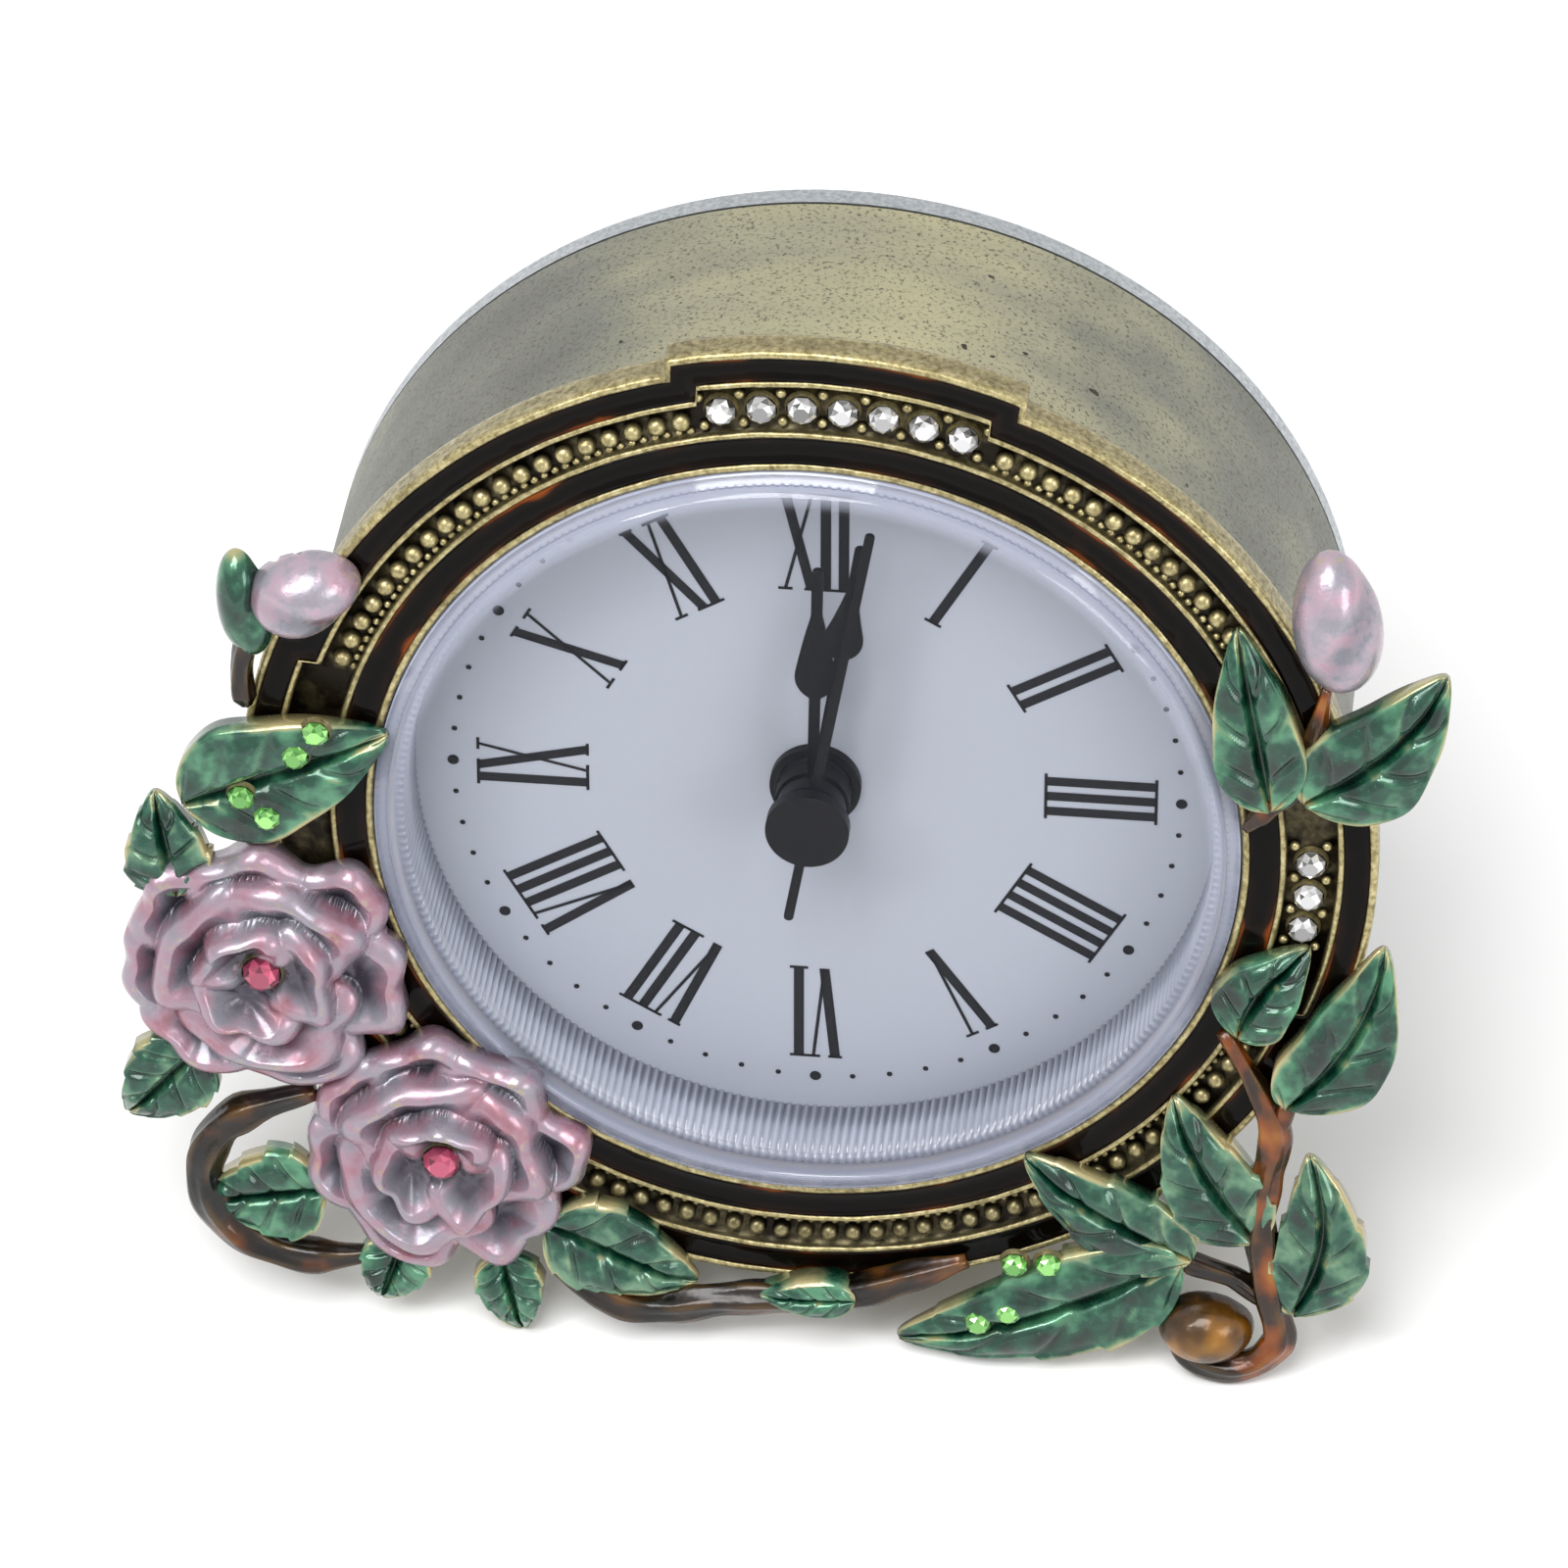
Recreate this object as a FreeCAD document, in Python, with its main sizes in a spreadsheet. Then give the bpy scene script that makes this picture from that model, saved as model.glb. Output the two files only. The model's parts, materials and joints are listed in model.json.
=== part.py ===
import FreeCAD, Part
import Sketcher
import math
import os

# A small round table clock that leans back on its drum.
# Clock directions: X to the right, Y from the face to the rear, Z up along the dial.
# Depth 0 is the front of the casting's ridges, where the ornament's flat backs lie.

# The driving dimensions: name, value in millimetres, degrees or teeth, and meaning.
DIMENSIONS = (
    ("plate_radius", "41.3", "front casting, plain rim"),
    ("panel_step", "1.3", "how far a panel steps outward"),
    ("plate_thickness", "3.0", "front casting"),
    ("sleeve_bore", "32.5", "hole that takes the lens and its cup"),
    ("sleeve_wall", "1.2", "tube behind the casting"),
    ("sleeve_depth", "14.0", "rear end of the tube"),
    ("ridge_width", "0.5", "thin ridges between the enamel and the beads"),
    ("lip_width", "0.6", "ridge round the lens"),
    ("inner_enamel_width", "2.2", "black ring next to the lens"),
    ("bead_channel_width", "2.5", "sunk ring for beads and stones"),
    ("outer_enamel_width", "2.1", "black ring next to the rim"),
    ("enamel_depth", "0.8", "floor of the enamel channels"),
    ("bead_channel_depth", "0.9", "floor of the bead channel"),
    ("enamel_dip", "0.15", "enamel below the ridges"),
    ("panel_half_angle", "18.0", "half the span of a stepped panel"),
    ("panel_inset_angle", "2.2", "how much less the inner ridge of a panel spans"),
    ("ornament_turn", "4.0", "clockwise turn of the panels against the dial"),
    ("drum_radius", "39.5", "drum outside"),
    ("drum_wall", "1.2", "drum sheet"),
    ("drum_rear", "26.0", "rear edge of the drum"),
    ("ring_gap", "0.3", "dark line between drum and back ring"),
    ("ring_thickness", "1.8", "back ring flange"),
    ("ring_bore", "34.0", "opening in the back ring"),
    ("ring_neck_length", "3.5", "neck of the back ring inside the drum"),
    ("ring_neck_wall", "1.2", "neck of the back ring"),
    ("fit_gap", "0.1", "sliding and push fits of the case"),
    ("foot_reach", "47.5", "lowest leaf and curl below the dial's centre"),
    ("lens_radius", "31.4", "front of the lens"),
    ("lens_proud", "1.2", "lens front ahead of the ridges"),
    ("lens_front_thickness", "1.5", "lens window"),
    ("lens_edge_round", "1.1", "rounded front edge of the lens"),
    ("flange_thickness", "1.2", "clear flange"),
    ("flange_gap", "0.1", "flange to sleeve"),
    ("lens_wall", "1.1", "fluted wall of the lens"),
    ("lens_wall_inset", "0.3", "fluted wall inside the lens front's edge"),
    ("dial_depth", "7.7", "dial below the ridges"),
    ("dial_thickness", "0.4", "dial card"),
    ("cup_wall", "0.4", "metal cup round the lens"),
    ("cup_floor", "1.0", "cup floor behind the dial"),
    ("cup_skirt", "3.0", "cup wall behind its floor"),
    ("grip_rib", "0.35", "ribs of the grip ring"),
    ("grip_width", "6.0", "grip ring along the cup"),
    ("housing_width", "31.0", "movement housing across"),
    ("housing_height", "35.5", "movement housing up and down"),
    ("housing_drop", "1.25", "housing centre below the hands' axis"),
    ("housing_corner", "2.5", "rounded corners of the housing"),
    ("housing_wall", "1.2", "housing walls"),
    ("plate_sheet", "1.2", "movement front plate"),
    ("cavity_depth", "8.1", "room between front plate and rear wall"),
    ("boss_radius", "2.75", "threaded boss through the dial"),
    ("boss_bore", "2.1", "hole in the boss"),
    ("boss_proud", "1.2", "boss ahead of the dial"),
    ("boss_gap", "0.1", "boss to dial hole"),
    ("nut_radius", "3.45", "nut on the dial"),
    ("nut_thickness", "0.8", "nut on the dial"),
    ("arbor_radius", "0.45", "seconds arbor"),
    ("arbor_gap", "0.12", "running gap of the nested arbors"),
    ("clutch_wall", "0.3", "pipe of the centre wheel"),
    ("cannon_wall", "0.33", "minute cannon"),
    ("pipe_wall", "0.45", "pipe of the hour wheel"),
    ("wheel_thickness", "0.5", "train wheels"),
    ("motion_thickness", "0.7", "motion wheels"),
    ("level_gap", "0.3", "gap between one wheel level and the next"),
    ("bridge_thickness", "0.6", "plate that divides the movement"),
    ("hole_gap", "0.15", "pivot holes"),
    ("pivot_gap", "0.2", "end play of an arbor"),
    ("small_arbor", "0.35", "arbors of the train"),
    ("motion_module", "0.35", "tooth size of the motion work"),
    ("train_module", "0.2", "tooth size of the train"),
    ("minute_wheel_direction", "-30.0", "from the centre to the minute wheel"),
    ("knob_direction", "-100.0", "from the minute wheel to the knob"),
    ("third_direction", "150.0", "from the centre to the third wheel"),
    ("fifth_direction", "60.0", "from the centre to the fifth wheel"),
    ("rotor_direction", "20.0", "from the fifth wheel to the rotor"),
    ("rotor_radius", "1.6", "magnet"),
    ("rotor_gap", "0.4", "magnet to stator"),
    ("rotor_thickness", "1.0", "magnet"),
    ("stator_thickness", "0.5", "stator sheet"),
    ("stator_leg", "1.8", "width of a stator leg"),
    ("coil_height", "13.2", "coil above the hands' axis"),
    ("coil_middle", "4.0", "coil to the right of the hands' axis"),
    ("coil_span", "14.9", "core between its outer ends"),
    ("core_thickness", "1.6", "coil core"),
    ("bobbin_length", "10.7", "bobbin between its outer faces"),
    ("bobbin_radius", "1.95", "bobbin cheeks"),
    ("bobbin_cheek", "0.6", "bobbin cheeks"),
    ("winding_radius", "1.7", "copper winding"),
    ("cell_radius", "5.8", "button cell"),
    ("cell_thickness", "5.4", "button cell"),
    ("cell_left", "7.5", "cell left of the hands' axis"),
    ("cell_below", "11.0", "cell below the hands' axis"),
    ("well_gap", "0.3", "cell to its well"),
    ("well_wall", "0.8", "wall of the well"),
    ("well_floor", "0.5", "floor of the well"),
    ("contact_sheet", "0.3", "contact springs"),
    ("contact_width", "3.0", "side contact"),
    ("lid_width", "13.6", "battery cover up and down"),
    ("lid_length", "13.8", "battery cover across"),
    ("lid_thickness", "0.9", "battery cover"),
    ("rail_wall", "0.8", "rails of the battery cover"),
    ("rail_lip", "0.7", "how far a rail reaches over the cover"),
    ("rail_gap", "0.15", "running gap of the battery cover"),
    ("post_radius", "1.3", "screw posts"),
    ("post_inset", "2.3", "screw posts from the housing's sides"),
    ("screw_radius", "0.5", "screw shanks"),
    ("screw_head", "1.1", "screw heads"),
    ("screw_head_height", "0.6", "screw heads"),
    ("knob_radius", "3.0", "setting knob"),
    ("knob_length", "3.5", "setting knob"),
    ("knob_stem", "0.8", "stem of the setting knob"),
    ("flute_radius", "0.6", "flutes of the setting knob"),
    ("flute_depth", "0.36", "flutes of the setting knob"),
    ("board_thickness", "0.6", "circuit board"),
    ("board_width", "10.0", "circuit board across"),
    ("board_height", "5.2", "circuit board up and down"),
    ("crystal_radius", "0.8", "crystal can"),
    ("crystal_length", "5.0", "crystal can"),
    ("hour_hand_length", "21.0", "hour hand"),
    ("minute_hand_length", "24.5", "minute hand"),
    ("seconds_hand_length", "26.4", "seconds hand"),
    ("seconds_tail", "9.1", "seconds hand behind the axis"),
    ("hand_thickness", "0.35", "hand sheet"),
    ("hour_spade", "3.0", "width of the hour hand's drop"),
    ("minute_spade", "2.9", "width of the minute hand's drop"),
    ("hand_bar", "0.85", "width of the plain bars of the hands"),
    ("seconds_bar", "0.75", "width of the seconds hand"),
    ("collar_radius", "2.8", "hour hand collar"),
    ("minute_collar_radius", "2.6", "minute hand collar"),
    ("collar_length", "1.4", "hour hand collar behind its blade"),
    ("cap_radius", "3.15", "seconds hand cap"),
    ("cap_thickness", "1.1", "seconds hand cap"),
    ("hand_gap", "0.65", "gap between one hand and the next"),
    ("hour_rest", "1.0", "hour hand as photographed"),
    ("minute_rest", "8.7", "minute hand as photographed"),
    ("seconds_rest", "9.8", "seconds hand as photographed"),
    ("leaf_crown", "2.3", "relief of a leaf"),
    ("vine_radius", "1.35", "vine"),
    ("loop_radius", "1.65", "vine of the left loop"),
    ("stem_radius", "0.95", "bud stems"),
    ("curl_ball_radius", "3.4", "ball in the curl"),
    ("rose_height", "6.0", "relief of a rose"),
    ("stone_radius", "1.15", "clear stones"),
    ("green_stone_radius", "1.05", "green stones"),
    ("rose_stone_radius", "1.5", "stones of the roses"),
    ("stone_crown", "0.6", "stone above its girdle"),
    ("stone_height", "1.25", "stone from its seat to its table"),
)

# Teeth of each wheel and pinion.
CANNON_TEETH = 10
MINUTE_WHEEL_TEETH = 30
MINUTE_PINION_TEETH = 8
HOUR_WHEEL_TEETH = 32
SETTING_TEETH = 10
CENTRE_WHEEL_TEETH = 64
THIRD_PINION_TEETH = 8
THIRD_WHEEL_TEETH = 60
SECONDS_PINION_TEETH = 8
SECONDS_WHEEL_TEETH = 48
FIFTH_PINION_TEETH = 8
FIFTH_WHEEL_TEETH = 40
ROTOR_PINION_TEETH = 8
KNOB_FLUTES = 10

# A tooth in shares of the module, and its widths in shares of the pitch.
TOOTH_TIP_SHARE = 0.8
TOOTH_ROOT_SHARE = 1.15
TIP_WIDTH_SHARE = 0.2
ROOT_WIDTH_SHARE = 0.52

# Places on the face, in shares of the plate's radius: right of the centre, above the centre.
# A leaf: its stalk, its tip, its width and how far its middle bows to the right of the way it points.
LEAF_SHARES = {
    "right_upper_leaves": (
        (0.835, 0.150, 0.765, 0.518, 0.145, 0.000),
        (0.896, 0.169, 1.138, 0.443, 0.194, 0.029),
    ),
    "right_middle_leaves": (
        (0.792, -0.354, 0.913, -0.162, 0.145, -0.019),
        (0.886, -0.508, 1.051, -0.153, 0.169, 0.036),
    ),
    "right_lower_leaves": (
        (0.838, -0.818, 0.678, -0.516, 0.169, -0.019),
        (0.913, -0.983, 0.932, -0.630, 0.160, 0.039),
        (0.722, -0.872, 0.409, -0.673, 0.157, -0.012),
    ),
    "right_jewelled_leaf": ((0.702, -0.877, 0.177, -1.109, 0.218, -0.029),),
    "left_jewelled_leaf": ((-1.128, 0.019, -0.755, 0.184, 0.232, 0.000),),
    "left_outer_leaves": (
        (-1.148, -0.184, -1.184, 0.027, 0.155, 0.000),
        (-1.123, -0.535, -1.262, -0.700, 0.169, 0.000),
    ),
    "loop_leaf": ((-0.896, -0.843, -1.126, -0.881, 0.194, 0.000),),
    "bottom_left_leaf": ((-0.479, -0.891, -0.199, -1.010, 0.194, 0.000),),
    "bottom_small_leaf": ((0.097, -1.017, -0.077, -1.012, 0.058, 0.000),),
    "small_rose_leaf": ((-0.748, -0.949, -0.797, -1.097, 0.131, 0.000),),
}
# The leaf that the clock stands on ends at the foot reach.
FOOT_LEAF_SHARES = (-0.564, -0.973, -0.530, 0.126)
# Stations along a leaf: share of its length, of its half width and of its crown.
STATION_SHARES = (
    (0.00, 0.24, 0.34),
    (0.15, 0.62, 0.74),
    (0.40, 1.00, 1.00),
    (0.66, 0.86, 0.90),
    (0.87, 0.44, 0.56),
    (1.00, 0.07, 0.12),
)
LOBE_SHARE = 0.60
MIDRIB_SHARE = 0.70
# A narrow leaf has no more relief than this share of its width.
CROWN_SHARE = 0.42
# Roses: centre, radius.
ROSE_SHARES = {
    "upper_rose": (-0.993, -0.334, 0.276),
    "lower_rose": (-0.671, -0.738, 0.266),
}
# Whorls of a rose: petals, distance out, petal radius, height (shares of the rose's), first angle.
WHORL_SHARES = (
    (5, 0.50, 0.53, 0.50, 18.0),
    (4, 0.28, 0.44, 0.75, 50.0),
    (3, 0.12, 0.27, 1.00, 10.0),
)
# The outline of a petal: shares of its radius and of its height.
PETAL_SHARES = ((0.0, 0.0), (0.90, 0.0), (1.0, 0.50), (0.93, 1.0), (0.72, 0.86), (0.0, 0.55))
# Buds: centre, half length, radius, and the direction the bud points in degrees from X.
BUD_SHARES = {
    "right_bud": (0.939, 0.550, 0.143, 0.080, 98.0),
    "left_bud": (-0.893, 0.484, 0.104, 0.080, 25.0),
    "left_bud_sepal": (-1.005, 0.450, 0.110, 0.050, 98.0),
}
# Vines: the corners of each run.
LOOP_SHARES = (
    (-0.908, -0.620), (-1.053, -0.668), (-1.123, -0.787), (-1.097, -0.910),
    (-1.017, -0.983), (-0.908, -1.007), (-0.811, -0.988),
)
BOTTOM_VINE_SHARES = (
    (-0.460, -0.998), (-0.385, -1.048), (-0.291, -1.073), (-0.145, -1.036),
    (0.080, -1.019), (0.201, -0.959), (0.305, -0.915),
)
RIGHT_VINE_SHARES = (
    (0.765, -0.354), (0.843, -0.496), (0.869, -0.586), (0.852, -0.690),
    (0.845, -0.845), (0.877, -1.000), (0.886, -1.060),
)
# The curl goes on from the right vine: the share across, and how far above the foot.
CURL_SHARES = ((0.850, 0.025), (0.770, 0.000), (0.705, 0.030))
CURL_BALL_SHARES = (0.752, 0.070)
RIGHT_STEM_SHARES = ((0.792, 0.092), (0.838, 0.153), (0.872, 0.170), (0.903, 0.254), (0.927, 0.400))
LEFT_STEM_SHARES = ((-1.007, 0.230), (-1.027, 0.320), (-0.990, 0.392))
# Stations along a bud: share of its half length from the middle, and of its radius.
EGG_SHARES = (
    (-1.00, 0.16), (-0.88, 0.50), (-0.60, 0.82), (-0.22, 0.99),
    (0.22, 0.97), (0.60, 0.76), (0.88, 0.42), (1.00, 0.10),
)
CORNER_SHARE = 0.45
VINE_SINK_SHARE = 0.55
BUD_SINK_SHARE = 0.12
# Stones on the leaves: places on the face.
LEFT_STONE_SHARES = ((-0.879, 0.201), (-0.918, 0.148), (-1.019, 0.051), (-0.973, 0.010))
RIGHT_STONE_SHARES = ((0.395, -0.898), (0.458, -0.893), (0.329, -1.039), (0.385, -1.010))
# Rose stones sit off the middle of their rose: shares of the rose's radius.
ROSE_STONE_SHARES = (0.02, 0.08)
# A stone in shares of its radius: its seat and its table.
SEAT_SHARE = 0.86
TABLE_SHARE = 0.58
STONE_SIDES = 8
CREST_STONES = 7
SIDE_STONES = 3
CREST_PITCH_SHARE = 1.29
# A cut piece this much smaller than the largest is a sliver.
SLIVER_SHARE = 0.04

# The step on the cell's front, in shares of its radius.
CELL_CAP_SHARE = 0.8
# The side contact's inner and outer face, in shares of the gap between the cell and its well.
CONTACT_SHARES = (0.3, 0.8)
# The chip's place along the circuit board.
CHIP_SHARE = 0.75
# An edge flat to this share of its width lies in one plane.
FLAT_SHARE = 0.0001

# Outlines of the hands: shares of the drop's half width and of the hand's length.
HOUR_SPADE_SHARES = ((0.455, 0.80, 0.490), (0.565, 0.62, 0.700), 0.800)
MINUTE_SPADE_SHARES = ((0.590, 0.80, 0.615), (0.670, 0.62, 0.750), 0.830)

doc = FreeCAD.newDocument("leaning_table_clock")


def make_sheet():
    """The spreadsheet of driving dimensions, one row each."""
    cells = doc.addObject("Spreadsheet::Sheet", "Sizes")
    for row, (alias, value, meaning) in enumerate(DIMENSIONS, start=1):
        cells.set("A" + str(row), alias)
        cells.set("B" + str(row), value)
        cells.set("C" + str(row), meaning)
        cells.setAlias("B" + str(row), alias)
    doc.recompute()
    return cells


class Size:
    """A size: its number now, and the expression that ties a property to the sheet."""

    def __init__(self, value, text):
        self.value = value
        self.text = text

    def __add__(self, other):
        return Size(self.value + other.value, "(" + self.text + " + " + other.text + ")")

    def __sub__(self, other):
        return Size(self.value - other.value, "(" + self.text + " - " + other.text + ")")

    def __mul__(self, factor):
        return Size(self.value * factor, "(" + self.text + " * " + str(factor) + ")")

    def __neg__(self):
        return self * -1

    def __truediv__(self, factor):
        return Size(self.value / factor, "(" + self.text + " / " + str(factor) + ")")


class SizeBook:
    """Reads a size from the sheet by its alias."""

    def __init__(self, cells):
        self.cells = cells

    def __getattr__(self, alias):
        return Size(float(self.cells.get(alias)), "Sizes." + alias)


S = SizeBook(make_sheet())
ZERO = Size(0.0, "0")
FACE = (ZERO, ZERO)
TO_AXIS = FreeCAD.Rotation(FreeCAD.Vector(1, 0, 0), -90)
REARWARD = FreeCAD.Vector(0, 1, 0)
pieces = {}


def bind(item, path, size):
    """Tie one property to the sheet."""
    item.setExpression(path, size.text)


def polar(distance, direction, start=FACE):
    """The place at a distance and direction from a start, as sizes."""
    angle = math.radians(direction.value)
    across = Size(distance.value * math.cos(angle), "(%s * cos(%s))" % (distance.text, direction.text))
    up = Size(distance.value * math.sin(angle), "(%s * sin(%s))" % (distance.text, direction.text))
    return (start[0] + across, start[1] + up)


def place(item, at, front):
    """Put an object's own origin at a place on the face and a depth."""
    bind(item, "Placement.Base.x", at[0])
    bind(item, "Placement.Base.y", front)
    bind(item, "Placement.Base.z", at[1])


def rod(name, radius, front, rear, at=FACE):
    """A cylinder along the clock's axis, between two depths."""
    item = doc.addObject("Part::Cylinder", name)
    item.Placement = FreeCAD.Placement(FreeCAD.Vector(), TO_AXIS)
    bind(item, "Radius", radius)
    bind(item, "Height", rear - front)
    place(item, at, front)
    return item


def block(name, left, bottom, front, width, height, depth):
    """A box from its left lower front corner."""
    item = doc.addObject("Part::Box", name)
    bind(item, "Length", width)
    bind(item, "Width", depth)
    bind(item, "Height", height)
    place(item, (left, bottom), front)
    return item


def rounded_block(name, left, bottom, front, width, height, depth, corner):
    """A box whose four edges along the clock's axis are rounded."""
    raw = block(name + "_raw", left, bottom, front, width, height, depth)
    doc.recompute()
    item = doc.addObject("Part::Fillet", name)
    item.Base = raw
    edges = []
    for number, edge in enumerate(raw.Shape.Edges, start=1):
        along = edge.tangentAt(edge.FirstParameter)
        if round(abs(along.dot(REARWARD))):
            edges.append((number, corner.value, corner.value))
    item.Edges = edges
    return item


def fuse(name, *items):
    """Several objects as one."""
    item = doc.addObject("Part::MultiFuse", name)
    item.Shapes = list(items)
    item.Refine = True
    return item


def cut(name, base, tool):
    """An object less another."""
    item = doc.addObject("Part::Cut", name)
    item.Base = base
    item.Tool = tool
    item.Refine = True
    return item


def feature(name, shape):
    """A shape made with the geometry functions, as an object of the document."""
    item = doc.addObject("Part::Feature", name)
    item.Shape = shape
    return item


def thick(name, face, front, thickness, at=FACE):
    """A face drawn at depth 0 about the origin, made solid between two depths at a place."""
    drawn = feature(name + "_face", face)
    item = doc.addObject("Part::Extrusion", name)
    item.Base = drawn
    item.DirMode = "Custom"
    item.Dir = REARWARD
    item.Solid = True
    bind(item, "LengthFwd", front + thickness)
    bind(item, "LengthRev", -front)
    if at is not FACE:
        bind(item, "Placement.Base.x", at[0])
        bind(item, "Placement.Base.z", at[1])
    return item


def keep(name, item):
    """Enter a finished piece under the name of its file."""
    item.Label = name
    pieces[name] = item
    return item


def origin_plane(body, role):
    """One of a body's own origin planes."""
    for item in body.Origin.OriginFeatures:
        if item.Role == role:
            return item
    raise ValueError(role)


def pin_point(sketch, index, size, kind, axis_line):
    """Hold the start of one sketch line at a coordinate from the sheet."""
    if size.value == 0.0:
        sketch.addConstraint(Sketcher.Constraint("PointOnObject", index, 1, axis_line))
        return
    number = sketch.addConstraint(Sketcher.Constraint(kind, -1, 1, index, 1, size.value))
    label = kind + str(index)
    sketch.renameConstraint(number, label)
    sketch.setExpression("Constraints." + label, size.text)


def turned(name, outline):
    """A body turned about the clock's axis from (radius, depth) corners."""
    body = doc.addObject("PartDesign::Body", name)
    sketch = body.newObject("Sketcher::SketchObject", name + "_outline")
    sketch.AttachmentSupport = (origin_plane(body, "XY_Plane"), [""])
    sketch.MapMode = "FlatFace"
    corners = [FreeCAD.Vector(radius.value, depth.value, 0) for radius, depth in outline]
    count = len(corners)
    for index in range(count):
        sketch.addGeometry(Part.LineSegment(corners[index], corners[(index + 1) % count]), False)
    for index in range(count):
        joint = Sketcher.Constraint("Coincident", index, 2, (index + 1) % count, 1)
        sketch.addConstraint(joint)
    for index, (radius, depth) in enumerate(outline):
        pin_point(sketch, index, radius, "DistanceX", -2)
        pin_point(sketch, index, depth, "DistanceY", -1)
    doc.recompute()
    turn = body.newObject("PartDesign::Revolution", name + "_turn")
    turn.Profile = sketch
    turn.ReferenceAxis = (sketch, ["V_Axis"])
    turn.Angle = 360.0
    doc.recompute()
    return body


# Depths that several pieces share, front to rear.
CUP_REAR = S.dial_depth + S.dial_thickness + S.cup_floor
PLATE_REAR = CUP_REAR + S.plate_sheet
LEVEL_PITCH = S.wheel_thickness + S.level_gap
HOUR_LEVEL = PLATE_REAR + S.level_gap
MINUTE_LEVEL = HOUR_LEVEL + S.motion_thickness + S.level_gap
CENTRE_LEVEL = MINUTE_LEVEL + S.motion_thickness + S.level_gap
BRIDGE_FRONT = CENTRE_LEVEL + LEVEL_PITCH
BRIDGE_REAR = BRIDGE_FRONT + S.bridge_thickness
THIRD_LEVEL = BRIDGE_REAR + S.level_gap
SECONDS_LEVEL = THIRD_LEVEL + LEVEL_PITCH
FIFTH_LEVEL = SECONDS_LEVEL + LEVEL_PITCH
ROTOR_FRONT = FIFTH_LEVEL + S.wheel_thickness
CAVITY_REAR = PLATE_REAR + S.cavity_depth
HOUSING_REAR = CAVITY_REAR + S.housing_wall
STATOR_FRONT = ROTOR_FRONT + S.level_gap
STATOR_REAR = STATOR_FRONT + S.stator_thickness
BACK_DEPTH = S.drum_rear + S.ring_gap + S.ring_thickness
# Places of the arbors on the face.
MINUTE_AT = polar(S.motion_module * ((CANNON_TEETH + MINUTE_WHEEL_TEETH) / 2), S.minute_wheel_direction)
KNOB_AT = polar(S.motion_module * ((MINUTE_WHEEL_TEETH + SETTING_TEETH) / 2), S.knob_direction, MINUTE_AT)
THIRD_DISTANCE = S.train_module * ((SECONDS_PINION_TEETH + THIRD_WHEEL_TEETH) / 2)
THIRD_AT = polar(THIRD_DISTANCE, S.third_direction)
CENTRE_MODULE = THIRD_DISTANCE * (2 / (CENTRE_WHEEL_TEETH + THIRD_PINION_TEETH))
FIFTH_AT = polar(S.train_module * ((SECONDS_WHEEL_TEETH + FIFTH_PINION_TEETH) / 2), S.fifth_direction)
ROTOR_AT = polar(
    S.train_module * ((FIFTH_WHEEL_TEETH + ROTOR_PINION_TEETH) / 2), S.rotor_direction, FIFTH_AT
)
CELL_AT = (-S.cell_left, -S.cell_below)
# Radii of the nested tubes on the hands' axis.
CLUTCH_BORE = S.arbor_radius + S.arbor_gap
CLUTCH_RADIUS = CLUTCH_BORE + S.clutch_wall
CANNON_BORE = CLUTCH_RADIUS + S.arbor_gap
CANNON_RADIUS = CANNON_BORE + S.cannon_wall
PIPE_BORE = CANNON_RADIUS + S.arbor_gap
PIPE_RADIUS = PIPE_BORE + S.pipe_wall


def clock_point(radius, clock_angle):
    """A point on the face at an angle clockwise from twelve."""
    angle = math.radians(clock_angle)
    return FreeCAD.Vector(radius * math.sin(angle), 0, radius * math.cos(angle))


def clock_arc(radius, start, end):
    """An arc round the dial's centre between two clock angles."""
    middle = (start + end) / 2
    arc = Part.Arc(clock_point(radius, start), clock_point(radius, middle), clock_point(radius, end))
    return arc.toShape()


def stepped_loop(radius, step, half_angle):
    """A circle that steps outward over the top, right and left panels."""
    turn = S.ornament_turn.value
    centres = (turn, turn + 90, turn + 270)
    edges = []
    for index, centre in enumerate(centres):
        start = centre - half_angle
        end = centre + half_angle
        following = centres[(index + 1) % len(centres)] - half_angle
        if following < end:
            following += 360
        edges.append(Part.makeLine(clock_point(radius, start), clock_point(radius + step, start)))
        edges.append(clock_arc(radius + step, start, end))
        edges.append(Part.makeLine(clock_point(radius + step, end), clock_point(radius, end)))
        edges.append(clock_arc(radius, end, following))
    return Part.Wire(edges)


def plain_loop(radius):
    """A circle round the dial's centre."""
    return Part.Wire([Part.makeCircle(radius, FreeCAD.Vector(), REARWARD)])


def ring_face(outer, inner):
    """The flat face between two loops."""
    return Part.makeFace([outer, inner], "Part::FaceMakerBullseye")


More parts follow.
